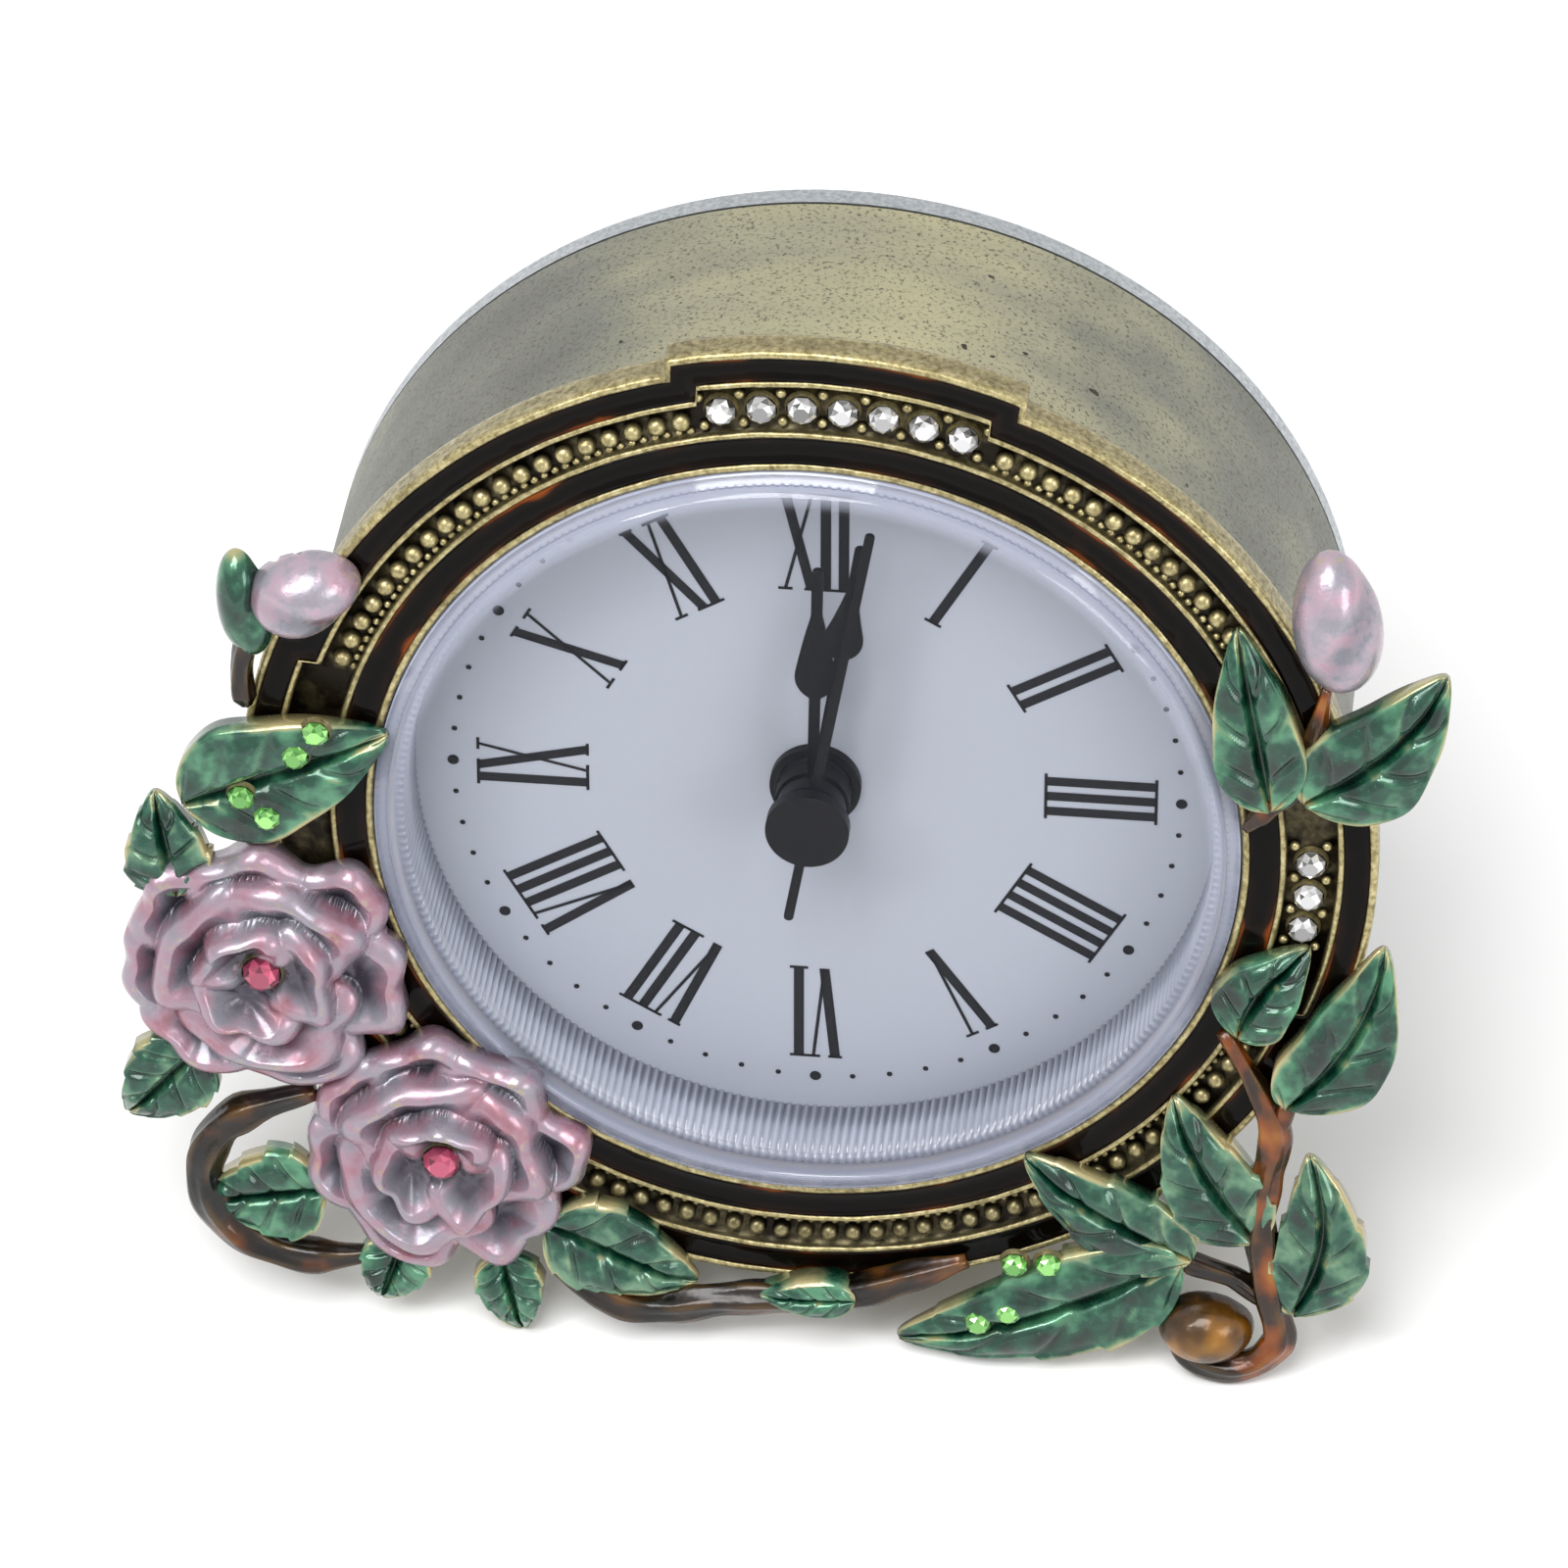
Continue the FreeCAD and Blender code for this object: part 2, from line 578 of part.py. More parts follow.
def make_front_casting():
    """The brass casting with its sunk rings, and the two rings of black enamel."""
    lip = S.sleeve_bore + S.lip_width
    inner_end = lip + S.inner_enamel_width
    bead_start = inner_end + S.ridge_width
    bead_end = bead_start + S.bead_channel_width
    outer_start = bead_end + S.ridge_width
    outer_end = outer_start + S.outer_enamel_width
    step = S.panel_step.value
    wide = S.panel_half_angle.value
    narrow = wide - S.panel_inset_angle.value
    outline = ring_face(stepped_loop(S.plate_radius.value, step, wide), plain_loop(S.sleeve_bore.value))
    inner_channel = ring_face(plain_loop(inner_end.value), plain_loop(lip.value))
    bead_channel = ring_face(stepped_loop(bead_end.value, step, narrow), plain_loop(bead_start.value))
    outer_channel = ring_face(
        stepped_loop(outer_end.value, step, wide - S.panel_inset_angle.value / 4),
        stepped_loop(outer_start.value, step, narrow + S.panel_inset_angle.value / 4),
    )
    plate = thick("casting_plate", outline, ZERO, S.plate_thickness)
    tube = cut(
        "casting_sleeve",
        rod("casting_sleeve_outside", S.sleeve_bore + S.sleeve_wall, S.plate_thickness, S.sleeve_depth),
        rod("casting_sleeve_bore", S.sleeve_bore, S.plate_thickness, S.sleeve_depth),
    )
    channels = fuse(
        "casting_channels",
        thick("inner_channel", inner_channel, ZERO, S.enamel_depth),
        thick("bead_channel", bead_channel, ZERO, S.bead_channel_depth),
        thick("outer_channel", outer_channel, ZERO, S.enamel_depth),
    )
    keep("front_casting", cut("front_casting", fuse("casting_blank", plate, tube), channels))
    enamel = S.enamel_depth - S.enamel_dip
    keep("inner_enamel", thick("inner_enamel", inner_channel, S.enamel_dip, enamel))
    keep("outer_enamel", thick("outer_enamel", outer_channel, S.enamel_dip, enamel))
    return bead_start


def make_drum():
    """The drum behind the casting, and the ring that closes its rear edge."""
    inside = S.drum_radius - S.drum_wall
    drum = turned("drum_shell", (
        (inside, S.plate_thickness),
        (S.drum_radius, S.plate_thickness),
        (S.drum_radius, S.drum_rear),
        (inside, S.drum_rear),
    ))
    keep("drum_shell", drum)
    flange_front = S.drum_rear + S.ring_gap
    neck_outside = inside - S.fit_gap
    neck_inside = neck_outside - S.ring_neck_wall
    ring = turned("back_ring", (
        (S.ring_bore, flange_front),
        (neck_inside, flange_front),
        (neck_inside, S.drum_rear - S.ring_neck_length),
        (neck_outside, S.drum_rear - S.ring_neck_length),
        (neck_outside, flange_front),
        (S.drum_radius, flange_front),
        (S.drum_radius, BACK_DEPTH),
        (S.ring_bore, BACK_DEPTH),
    ))
    keep("back_ring", ring)


def make_insert():
    """Lens, dial, cup, grip ring and the nut on the dial."""
    flange_radius = S.sleeve_bore - S.flange_gap
    wall_outside = S.lens_radius - S.lens_wall_inset
    window_rear = S.lens_front_thickness - S.lens_proud
    lens = turned("lens", (
        (ZERO, -S.lens_proud),
        (S.lens_radius, -S.lens_proud),
        (S.lens_radius, ZERO),
        (flange_radius, ZERO),
        (flange_radius, S.flange_thickness),
        (wall_outside, S.flange_thickness),
        (wall_outside, S.dial_depth),
        (wall_outside - S.lens_wall, S.dial_depth),
        (wall_outside - S.lens_wall, window_rear),
        (ZERO, window_rear),
    ))
    front_edges = []
    for number, edge in enumerate(lens.Shape.Edges, start=1):
        box = edge.BoundBox
        off_front = abs(box.YMin + S.lens_proud.value) + abs(box.YMax + S.lens_proud.value)
        if off_front < box.XLength * FLAT_SHARE:
            front_edges.append("Edge" + str(number))
    unrounded = lens.Tip
    rounding = lens.newObject("PartDesign::Fillet", "lens_edge")
    rounding.Base = (unrounded, front_edges)
    bind(rounding, "Radius", S.lens_edge_round)
    keep("lens", lens)
    cup_inside = wall_outside + S.boss_gap
    cup_outside = cup_inside + S.cup_wall
    hole = S.boss_radius + S.boss_gap
    dial = turned("dial", (
        (hole, S.dial_depth),
        (wall_outside, S.dial_depth),
        (wall_outside, S.dial_depth + S.dial_thickness),
        (hole, S.dial_depth + S.dial_thickness),
    ))
    keep("dial", dial)
    cup = turned("insert_cup", (
        (cup_inside, S.flange_thickness),
        (cup_outside, S.flange_thickness),
        (cup_outside, CUP_REAR + S.cup_skirt),
        (cup_inside, CUP_REAR + S.cup_skirt),
        (cup_inside, CUP_REAR),
        (hole, CUP_REAR),
        (hole, CUP_REAR - S.cup_floor),
        (cup_inside, CUP_REAR - S.cup_floor),
    ))
    keep("insert_cup", cup)
    grip_front = S.flange_thickness + S.grip_rib
    grip_inside = cup_outside
    grip_web = grip_inside + S.grip_rib
    rib_top = S.sleeve_bore
    rib = S.grip_width / 6
    grip = [(grip_inside, grip_front + rib * 6), (grip_inside, grip_front)]
    for index in range(3):
        start = grip_front + rib * (2 * index)
        grip.append((grip_web, start))
        grip.append((rib_top, start + rib / 2))
        grip.append((grip_web, start + rib))
    grip.append((grip_web, grip_front + rib * 6))
    keep("grip_ring", turned("grip_ring", grip))
    nut_front = S.dial_depth - S.nut_thickness
    nut = turned("dial_nut", (
        (hole, nut_front),
        (S.nut_radius, nut_front),
        (S.nut_radius, S.dial_depth),
        (hole, S.dial_depth),
    ))
    keep("dial_nut", nut)


def post_places():
    """Where the three screw posts of the movement stand."""
    side = S.housing_width / 2 - S.post_inset
    top = S.housing_height / 2 - S.post_inset
    return (
        (side, top - S.housing_drop),
        (-side, top - S.housing_drop),
        (side, -top - S.housing_drop),
    )


def make_movement_case():
    """Front plate with the threaded boss, and the rear cover with cell well, posts and rails."""
    left = -S.housing_width / 2
    bottom = -S.housing_height / 2 - S.housing_drop
    sheet = rounded_block(
        "movement_sheet", left, bottom, CUP_REAR, S.housing_width, S.housing_height, S.plate_sheet,
        S.housing_corner,
    )
    boss = rod("movement_boss", S.boss_radius, S.dial_depth - S.boss_proud, CUP_REAR)
    post_end = MINUTE_LEVEL + S.motion_thickness
    stud = rod("minute_wheel_stud", S.small_arbor, PLATE_REAR, post_end, MINUTE_AT)
    bore = rod("movement_bore", S.boss_bore, S.dial_depth - S.boss_proud, PLATE_REAR)
    keep("movement_plate", cut("movement_plate", fuse("movement_front", sheet, boss, stud), bore))

    shell = rounded_block(
        "cover_shell", left, bottom, PLATE_REAR, S.housing_width, S.housing_height,
        HOUSING_REAR - PLATE_REAR, S.housing_corner,
    )
    wall = S.housing_wall
    cavity = rounded_block(
        "cover_cavity", left + wall, bottom + wall, PLATE_REAR, S.housing_width - wall * 2,
        S.housing_height - wall * 2, S.cavity_depth, S.housing_corner - wall,
    )
    well_bore = S.cell_radius + S.well_gap
    well_front = HOUSING_REAR - S.cell_thickness - S.contact_sheet - S.well_floor
    well = rod("cover_well", well_bore + S.well_wall, well_front, HOUSING_REAR, CELL_AT)
    solids = [cut("cover_walls", shell, cavity), well]
    holes = [rod("cover_well_bore", well_bore, well_front + S.well_floor, HOUSING_REAR, CELL_AT)]
    screws = []
    head_rear = HOUSING_REAR + S.screw_head_height
    for index, at in enumerate(post_places()):
        tag = str(index + 1)
        solids.append(rod("cover_post_" + tag, S.post_radius, PLATE_REAR, HOUSING_REAR, at))
        holes.append(rod("cover_post_bore_" + tag, S.screw_radius, PLATE_REAR, HOUSING_REAR, at))
        shank = rod("screw_shank_" + tag, S.screw_radius, PLATE_REAR, HOUSING_REAR, at)
        head = rod("screw_head_" + tag, S.screw_head, HOUSING_REAR, head_rear, at)
        slot = block(
            "screw_slot_" + tag, at[0] - S.screw_head, at[1] - S.screw_radius / 4,
            head_rear - S.screw_head_height / 2, S.screw_head * 2, S.screw_radius / 2, S.screw_head_height,
        )
        screws.append(cut("cover_screw_" + tag, fuse("cover_screw_blank_" + tag, shank, head), slot))
    pad_left = S.coil_middle - S.coil_span / 2 + S.stator_leg / 2
    pad_right = S.coil_middle + S.coil_span / 2 - S.stator_leg / 2
    for tag, across in (("left", pad_left), ("right", pad_right)):
        pad = rod("stator_pad_" + tag, S.stator_leg / 2, STATOR_REAR, CAVITY_REAR, (across, S.coil_height))
        solids.append(pad)
    holes.append(rod("cover_knob_hole", S.knob_stem + S.hole_gap, CAVITY_REAR, HOUSING_REAR, KNOB_AT))
    solids += make_lid_rails()
    keep("movement_cover", cut("movement_cover", fuse("cover_solids", *solids), fuse("cover_holes", *holes)))
    group = doc.addObject("Part::Compound", "cover_screws")
    group.Links = screws
    keep("cover_screws", group)
    return well_front


def make_lid_rails():
    """Two rails and an end stop on the rear wall, for the battery cover."""
    lid_right = -S.cell_left + S.lid_length / 2
    half = S.lid_width / 2 + S.rail_gap
    rail_depth = S.lid_thickness + S.rail_gap * 2
    rails = []
    for tag, side in (("upper", 1), ("lower", -1)):
        inner = -S.cell_below + half * side
        foot = inner if side > 0 else inner - S.rail_wall
        lip = inner - S.rail_lip if side > 0 else inner - S.rail_wall
        upright = block(
            "rail_" + tag, lid_right - S.lid_length, foot, HOUSING_REAR, S.lid_length + S.rail_wall,
            S.rail_wall, rail_depth + S.rail_wall,
        )
        over = block(
            "rail_lip_" + tag, lid_right - S.lid_length, lip, HOUSING_REAR + rail_depth,
            S.lid_length + S.rail_wall, S.rail_wall + S.rail_lip, S.rail_wall,
        )
        rails += [upright, over]
    stop = block(
        "rail_stop", lid_right + S.rail_gap, -S.cell_below - half, HOUSING_REAR,
        S.rail_wall - S.rail_gap, half * 2, rail_depth + S.rail_wall,
    )
    rails.append(stop)
    return rails


def make_battery_cover():
    """The sliding lid over the cell, with finger ridges between its rails."""
    left = -S.cell_left - S.lid_length / 2
    front = HOUSING_REAR + S.rail_gap
    plate = block(
        "lid_plate", left, -S.cell_below - S.lid_width / 2, front, S.lid_length, S.lid_width, S.lid_thickness
    )
    ridge_length = S.lid_width - S.rail_lip * 4
    ridges = []
    for index in range(3):
        ridge = block(
            "lid_ridge_" + str(index + 1), left + S.rail_wall * (1 + 2 * index),
            -S.cell_below - ridge_length / 2, front + S.lid_thickness, S.rail_wall, ridge_length,
            S.rail_wall,
        )
        ridges.append(ridge)
    keep("battery_cover", fuse("battery_cover", plate, *ridges))


def make_electrics(well_front):
    """Cell, contacts, circuit board, crystal, stator, bobbin and winding."""
    floor_rear = well_front + S.well_floor
    cell_front = floor_rear + S.contact_sheet
    cell_rear = cell_front + S.cell_thickness - S.rail_gap
    step = S.contact_sheet
    body = rod("cell_body", S.cell_radius, cell_front + step, cell_rear, CELL_AT)
    cap = rod("cell_cap", S.cell_radius * CELL_CAP_SHARE, cell_front, cell_front + step, CELL_AT)
    keep("battery", fuse("battery", body, cap))
    disc = rod("contact_disc", S.cell_radius / 2, floor_rear, cell_front, CELL_AT)
    side_front = cell_front + step * 2
    inside, outside = (S.cell_radius + S.well_gap * share for share in CONTACT_SHARES)
    side_ring = cut(
        "contact_side_ring",
        rod("contact_side_outside", outside, side_front, cell_rear, CELL_AT),
        rod("contact_side_inside", inside, side_front, cell_rear, CELL_AT),
    )
    window = block(
        "contact_side_window", CELL_AT[0] - S.contact_width / 2, CELL_AT[1], cell_front,
        S.contact_width, S.cell_radius + S.well_gap, S.cell_thickness,
    )
    side = doc.addObject("Part::Common", "contact_side")
    side.Base = side_ring
    side.Tool = window
    contacts = doc.addObject("Part::Compound", "battery_contacts")
    contacts.Links = [disc, side]
    keep("battery_contacts", contacts)

    board_left = S.post_radius - S.board_thickness
    board_bottom = -S.housing_height / 2 - S.housing_drop + S.housing_wall + S.fit_gap
    board_front = CAVITY_REAR - S.board_thickness
    board = block(
        "board_sheet", board_left, board_bottom, board_front, S.board_width, S.board_height,
        S.board_thickness,
    )
    chip_at = (board_left + S.board_width * CHIP_SHARE, board_bottom + S.board_height / 2)
    chip = rod("board_chip", S.board_height / 4, board_front - S.board_thickness, board_front, chip_at)
    keep("circuit_board", fuse("circuit_board", board, chip))
    can = doc.addObject("Part::Cylinder", "crystal_body")
    can.Placement = FreeCAD.Placement(FreeCAD.Vector(), FreeCAD.Rotation(REARWARD, 90))
    bind(can, "Radius", S.crystal_radius)
    bind(can, "Height", S.crystal_length)
    can_up = board_bottom + S.board_height / 2
    place(can, (board_left + S.crystal_radius / 2, can_up), board_front - S.crystal_radius)
    pin = block(
        "crystal_leads", board_left + S.crystal_radius / 2 + S.crystal_length, can_up - S.crystal_radius / 2,
        board_front - S.crystal_radius, S.crystal_radius, S.crystal_radius, S.crystal_radius,
    )
    keep("crystal_can", fuse("crystal_can", can, pin))
    make_motor_coil()


def make_motor_coil():
    """The stator sheet round the rotor, the core and bobbin over its legs, and the winding."""
    core_left = S.coil_middle - S.coil_span / 2
    core_right = S.coil_middle + S.coil_span / 2
    leg = S.stator_leg
    pole = S.rotor_radius + S.rotor_gap
    stator_bottom = ROTOR_AT[1] - pole - leg / 2
    leg_height = S.coil_height + leg / 2 - stator_bottom
    bar_bottom = ROTOR_AT[1]
    sheets = (
        block("stator_pole", ROTOR_AT[0] - pole - leg / 2, stator_bottom, STATOR_FRONT,
              core_right - ROTOR_AT[0] + pole + leg / 2, (pole + leg / 2) * 2, S.stator_thickness),
        block("stator_right_leg", core_right - leg, stator_bottom, STATOR_FRONT,
              leg, leg_height, S.stator_thickness),
        block("stator_left_bar", core_left, bar_bottom, STATOR_FRONT,
              ROTOR_AT[0] - core_left, leg, S.stator_thickness),
        block("stator_left_leg", core_left, bar_bottom, STATOR_FRONT,
              leg, S.coil_height + leg / 2 - bar_bottom, S.stator_thickness),
    )
    hole = rod("stator_hole", pole, STATOR_FRONT, STATOR_REAR, ROTOR_AT)
    keep("stator", cut("stator", fuse("stator_sheets", *sheets), hole))
    core_front = STATOR_FRONT - S.core_thickness
    half_core = S.core_thickness / 2
    core = block(
        "bobbin_core", core_left, S.coil_height - half_core, core_front, S.coil_span,
        S.core_thickness, S.core_thickness,
    )
    middle_depth = core_front + half_core
    bobbin_left = S.coil_middle - S.bobbin_length / 2
    cheeks = []
    for tag, across in (("left", bobbin_left), ("right", bobbin_left + S.bobbin_length - S.bobbin_cheek)):
        cheek = crosswise("bobbin_cheek_" + tag, S.bobbin_radius, across, S.bobbin_cheek, middle_depth)
        cheeks.append(cheek)
    keep("coil_bobbin", fuse("coil_bobbin", core, *cheeks))
    winding_length = S.bobbin_length - S.bobbin_cheek * 2
    turns = crosswise(
        "winding_outside", S.winding_radius, bobbin_left + S.bobbin_cheek, winding_length, middle_depth
    )
    hollow = block(
        "winding_hollow", bobbin_left, S.coil_height - half_core, core_front, S.bobbin_length,
        S.core_thickness, S.core_thickness,
    )
    keep("coil_winding", cut("coil_winding", turns, hollow))


def crosswise(name, radius, left, length, depth):
    """A cylinder that lies across the clock at the coil's height."""
    item = doc.addObject("Part::Cylinder", name)
    item.Placement = FreeCAD.Placement(FreeCAD.Vector(), FreeCAD.Rotation(REARWARD, 90))
    bind(item, "Radius", radius)
    bind(item, "Height", length)
    place(item, (left, S.coil_height), depth)
    return item


def gear_face(teeth, module, toward):
    """The outline of a toothed wheel about the origin, with one tooth pointing at an angle."""
    pitch = 2 * math.pi / teeth
    root = module * (teeth / 2 - TOOTH_ROOT_SHARE)
    tip = module * (teeth / 2 + TOOTH_TIP_SHARE)
    corners = []
    for index in range(teeth):
        middle = math.radians(toward) + index * pitch
        for radius, turn in (
            (root, -ROOT_WIDTH_SHARE / 2), (tip, -TIP_WIDTH_SHARE / 2),
            (tip, TIP_WIDTH_SHARE / 2), (root, ROOT_WIDTH_SHARE / 2),
        ):
            angle = middle + turn * pitch
            corners.append(FreeCAD.Vector(radius * math.cos(angle), 0, radius * math.sin(angle)))
    corners.append(corners[0])
    return Part.Face(Part.makePolygon(corners))


def gear(name, teeth, module, toward, front, thickness, at=FACE):
    """A toothed wheel at a place and depth."""
    return thick(name, gear_face(teeth, module.value, toward), front, thickness, at)


def facing(direction, teeth):
    """The angle that turns a wheel's gap to a tooth that comes from a direction."""
    return direction + 180 + 180 / teeth


def make_motion_work():
    """Minute cannon, minute wheel, hour wheel and setting knob, four wheels in two levels."""
    minute_way = S.minute_wheel_direction.value
    knob_way = S.knob_direction.value
    hand_front = S.dial_depth - S.boss_proud
    hour_plate = hand_front - S.hand_thickness - S.collar_length
    minute_plate = hour_plate - S.hand_gap - S.hand_thickness - S.hand_gap
    thickness = S.motion_thickness

    cannon_rear = MINUTE_LEVEL + thickness
    cannon = fuse(
        "cannon_solid",
        gear("cannon_teeth", CANNON_TEETH, S.motion_module, minute_way, MINUTE_LEVEL, thickness),
        rod("cannon_tube", CANNON_RADIUS, minute_plate, cannon_rear),
    )
    bore = rod("cannon_bore", CANNON_BORE, minute_plate, cannon_rear)
    keep("minute_cannon", cut("minute_cannon", cannon, bore))

    hour_wheel = fuse(
        "hour_wheel_solid",
        gear("hour_wheel_teeth", HOUR_WHEEL_TEETH, S.motion_module,
             minute_way + 180 / HOUR_WHEEL_TEETH, HOUR_LEVEL, thickness),
        rod("hour_wheel_pipe", PIPE_RADIUS, hour_plate, HOUR_LEVEL + thickness),
    )
    pipe_bore = rod("hour_wheel_bore", PIPE_BORE, hour_plate, HOUR_LEVEL + thickness)
    keep("hour_wheel", cut("hour_wheel", hour_wheel, pipe_bore))

    minute_wheel = fuse(
        "minute_wheel_solid",
        gear("minute_wheel_teeth", MINUTE_WHEEL_TEETH, S.motion_module,
             facing(minute_way, MINUTE_WHEEL_TEETH), MINUTE_LEVEL, thickness, MINUTE_AT),
        gear("minute_pinion_teeth", MINUTE_PINION_TEETH, S.motion_module,
             minute_way + 180, HOUR_LEVEL, MINUTE_LEVEL - HOUR_LEVEL, MINUTE_AT),
    )
    stud_bore = rod("minute_wheel_bore", S.small_arbor + S.hole_gap, HOUR_LEVEL, cannon_rear, MINUTE_AT)
    keep("minute_wheel", cut("minute_wheel", minute_wheel, stud_bore))

    tooth_way = facing(minute_way, MINUTE_WHEEL_TEETH) - knob_way
    tooth_step = 360 / MINUTE_WHEEL_TEETH
    offset = tooth_way - round(tooth_way / tooth_step) * tooth_step
    setting_way = facing(knob_way, SETTING_TEETH) - offset * MINUTE_WHEEL_TEETH / SETTING_TEETH
    knob_front = HOUSING_REAR + S.pivot_gap * 2
    stem = rod("knob_stem_rod", S.knob_stem, PLATE_REAR + S.pivot_gap, knob_front, KNOB_AT)
    setting = gear(
        "setting_teeth", SETTING_TEETH, S.motion_module, setting_way, MINUTE_LEVEL, thickness, KNOB_AT
    )
    knob_rear = knob_front + S.knob_length
    grip = rod("knob_grip", S.knob_radius, knob_front, knob_rear, KNOB_AT)
    flutes = []
    for index in range(KNOB_FLUTES):
        angle = index * 360 / KNOB_FLUTES
        at = polar(S.knob_radius + S.flute_radius - S.flute_depth, Size(angle, str(angle)), KNOB_AT)
        flutes.append(rod("knob_flute_" + str(index + 1), S.flute_radius, knob_front, knob_rear, at))
    fluted = cut("knob_fluted", grip, fuse("knob_flutes", *flutes))
    keep("setting_knob", fuse("setting_knob", stem, setting, fluted))
    return hour_plate, minute_plate


def make_train(minute_plate):
    """Centre, third, seconds and fifth wheels, the rotor, and the bridge between them."""
    third_way = S.third_direction.value
    fifth_way = S.fifth_direction.value
    rotor_way = S.rotor_direction.value
    sheet = S.wheel_thickness
    arbor_end = CAVITY_REAR - S.pivot_gap
    arbor_start = PLATE_REAR + S.pivot_gap
    fine = S.train_module

    pipe_front = HOUR_LEVEL
    centre = fuse(
        "centre_wheel_solid",
        gear("centre_wheel_teeth", CENTRE_WHEEL_TEETH, CENTRE_MODULE,
             third_way + 180 / CENTRE_WHEEL_TEETH, CENTRE_LEVEL, sheet),
        rod("centre_wheel_pipe", CLUTCH_RADIUS, pipe_front, CENTRE_LEVEL + sheet),
    )
    centre_bore = rod("centre_wheel_bore", CLUTCH_BORE, pipe_front, CENTRE_LEVEL + sheet)
    keep("centre_wheel", cut("centre_wheel", centre, centre_bore))

    third = fuse(
        "third_wheel",
        gear("third_wheel_teeth", THIRD_WHEEL_TEETH, fine,
             facing(third_way, THIRD_WHEEL_TEETH), THIRD_LEVEL, sheet, THIRD_AT),
        gear("third_pinion_teeth", THIRD_PINION_TEETH, CENTRE_MODULE,
             third_way + 180, CENTRE_LEVEL, sheet, THIRD_AT),
        rod("third_arbor", S.small_arbor, arbor_start, arbor_end, THIRD_AT),
    )
    keep("third_wheel", third)

    cap_front = minute_plate - S.hand_gap - S.hand_thickness - S.cap_thickness
    arbor_front = cap_front + S.cap_thickness / 2
    seconds = fuse(
        "seconds_wheel",
        gear("seconds_wheel_teeth", SECONDS_WHEEL_TEETH, fine, fifth_way, SECONDS_LEVEL, sheet),
        gear("seconds_pinion_teeth", SECONDS_PINION_TEETH, fine, third_way, THIRD_LEVEL, sheet),
        rod("seconds_arbor", S.arbor_radius, arbor_front, arbor_end),
    )
    keep("seconds_wheel", seconds)

    fifth = fuse(
        "fifth_wheel",
        gear("fifth_wheel_teeth", FIFTH_WHEEL_TEETH, fine, rotor_way, FIFTH_LEVEL, sheet, FIFTH_AT),
        gear("fifth_pinion_teeth", FIFTH_PINION_TEETH, fine,
             facing(fifth_way, FIFTH_PINION_TEETH), SECONDS_LEVEL, sheet, FIFTH_AT),
        rod("fifth_arbor", S.small_arbor, BRIDGE_FRONT, arbor_end, FIFTH_AT),
    )
    keep("fifth_wheel", fifth)

    rotor = fuse(
        "rotor",
        gear("rotor_teeth", ROTOR_PINION_TEETH, fine,
             facing(rotor_way, ROTOR_PINION_TEETH), FIFTH_LEVEL, sheet, ROTOR_AT),
        rod("rotor_magnet", S.rotor_radius, STATOR_FRONT, STATOR_FRONT + S.rotor_thickness, ROTOR_AT),
        rod("rotor_arbor", S.small_arbor, BRIDGE_FRONT, arbor_end, ROTOR_AT),
    )
    keep("rotor", rotor)

    width = S.housing_width - S.housing_wall * 2 - S.fit_gap * 2
    bridge_top = S.coil_height - S.bobbin_radius - S.post_radius
    bridge_bottom = -S.cell_below + S.cell_radius + S.well_gap + S.well_wall + S.fit_gap
    sheet_blank = block(
        "bridge_sheet", -width / 2, bridge_bottom, BRIDGE_FRONT, width, bridge_top - bridge_bottom,
        S.bridge_thickness,
    )
    holes = fuse(
        "bridge_holes",
        rod("bridge_centre_hole", S.arbor_radius + S.hole_gap, BRIDGE_FRONT, BRIDGE_REAR),
        rod("bridge_third_hole", S.small_arbor + S.hole_gap, BRIDGE_FRONT, BRIDGE_REAR, THIRD_AT),
        rod("bridge_fifth_hole", S.small_arbor + S.hole_gap, BRIDGE_FRONT, BRIDGE_REAR, FIFTH_AT),
        rod("bridge_rotor_hole", S.small_arbor + S.hole_gap, BRIDGE_FRONT, BRIDGE_REAR, ROTOR_AT),
    )
    keep("gear_bridge", cut("gear_bridge", sheet_blank, holes))
    return cap_front


def spade_face(length, half_bar, half_drop, shares):
    """A hand that points up: a bar, a drop that swells and narrows, and a bar to the tip."""
    (low, low_width, low_height), (wide, high_width, high_height), neck = shares

    def at(across, up):
        return FreeCAD.Vector(across, 0, up)

    def side(sign):
        return (
            Part.makeLine(at(sign * half_bar, 0), at(sign * half_bar, low * length)),
            Part.Arc(at(sign * half_bar, low * length),
                     at(sign * half_drop * low_width, low_height * length),
                     at(sign * half_drop, wide * length)).toShape(),
            Part.Arc(at(sign * half_drop, wide * length),
                     at(sign * half_drop * high_width, high_height * length),
                     at(sign * half_bar, neck * length)).toShape(),
            Part.makeLine(at(sign * half_bar, neck * length), at(sign * half_bar, length - half_bar)),
        )

    shoulder = length - half_bar
    tip = Part.Arc(at(half_bar, shoulder), at(0, length), at(-half_bar, shoulder)).toShape()
    bottom = Part.makeLine(at(-half_bar, 0), at(half_bar, 0))
    edges = Part.sortEdges(list(side(1)) + [tip] + list(side(-1)) + [bottom])[0]
    return Part.Face(Part.Wire(edges))


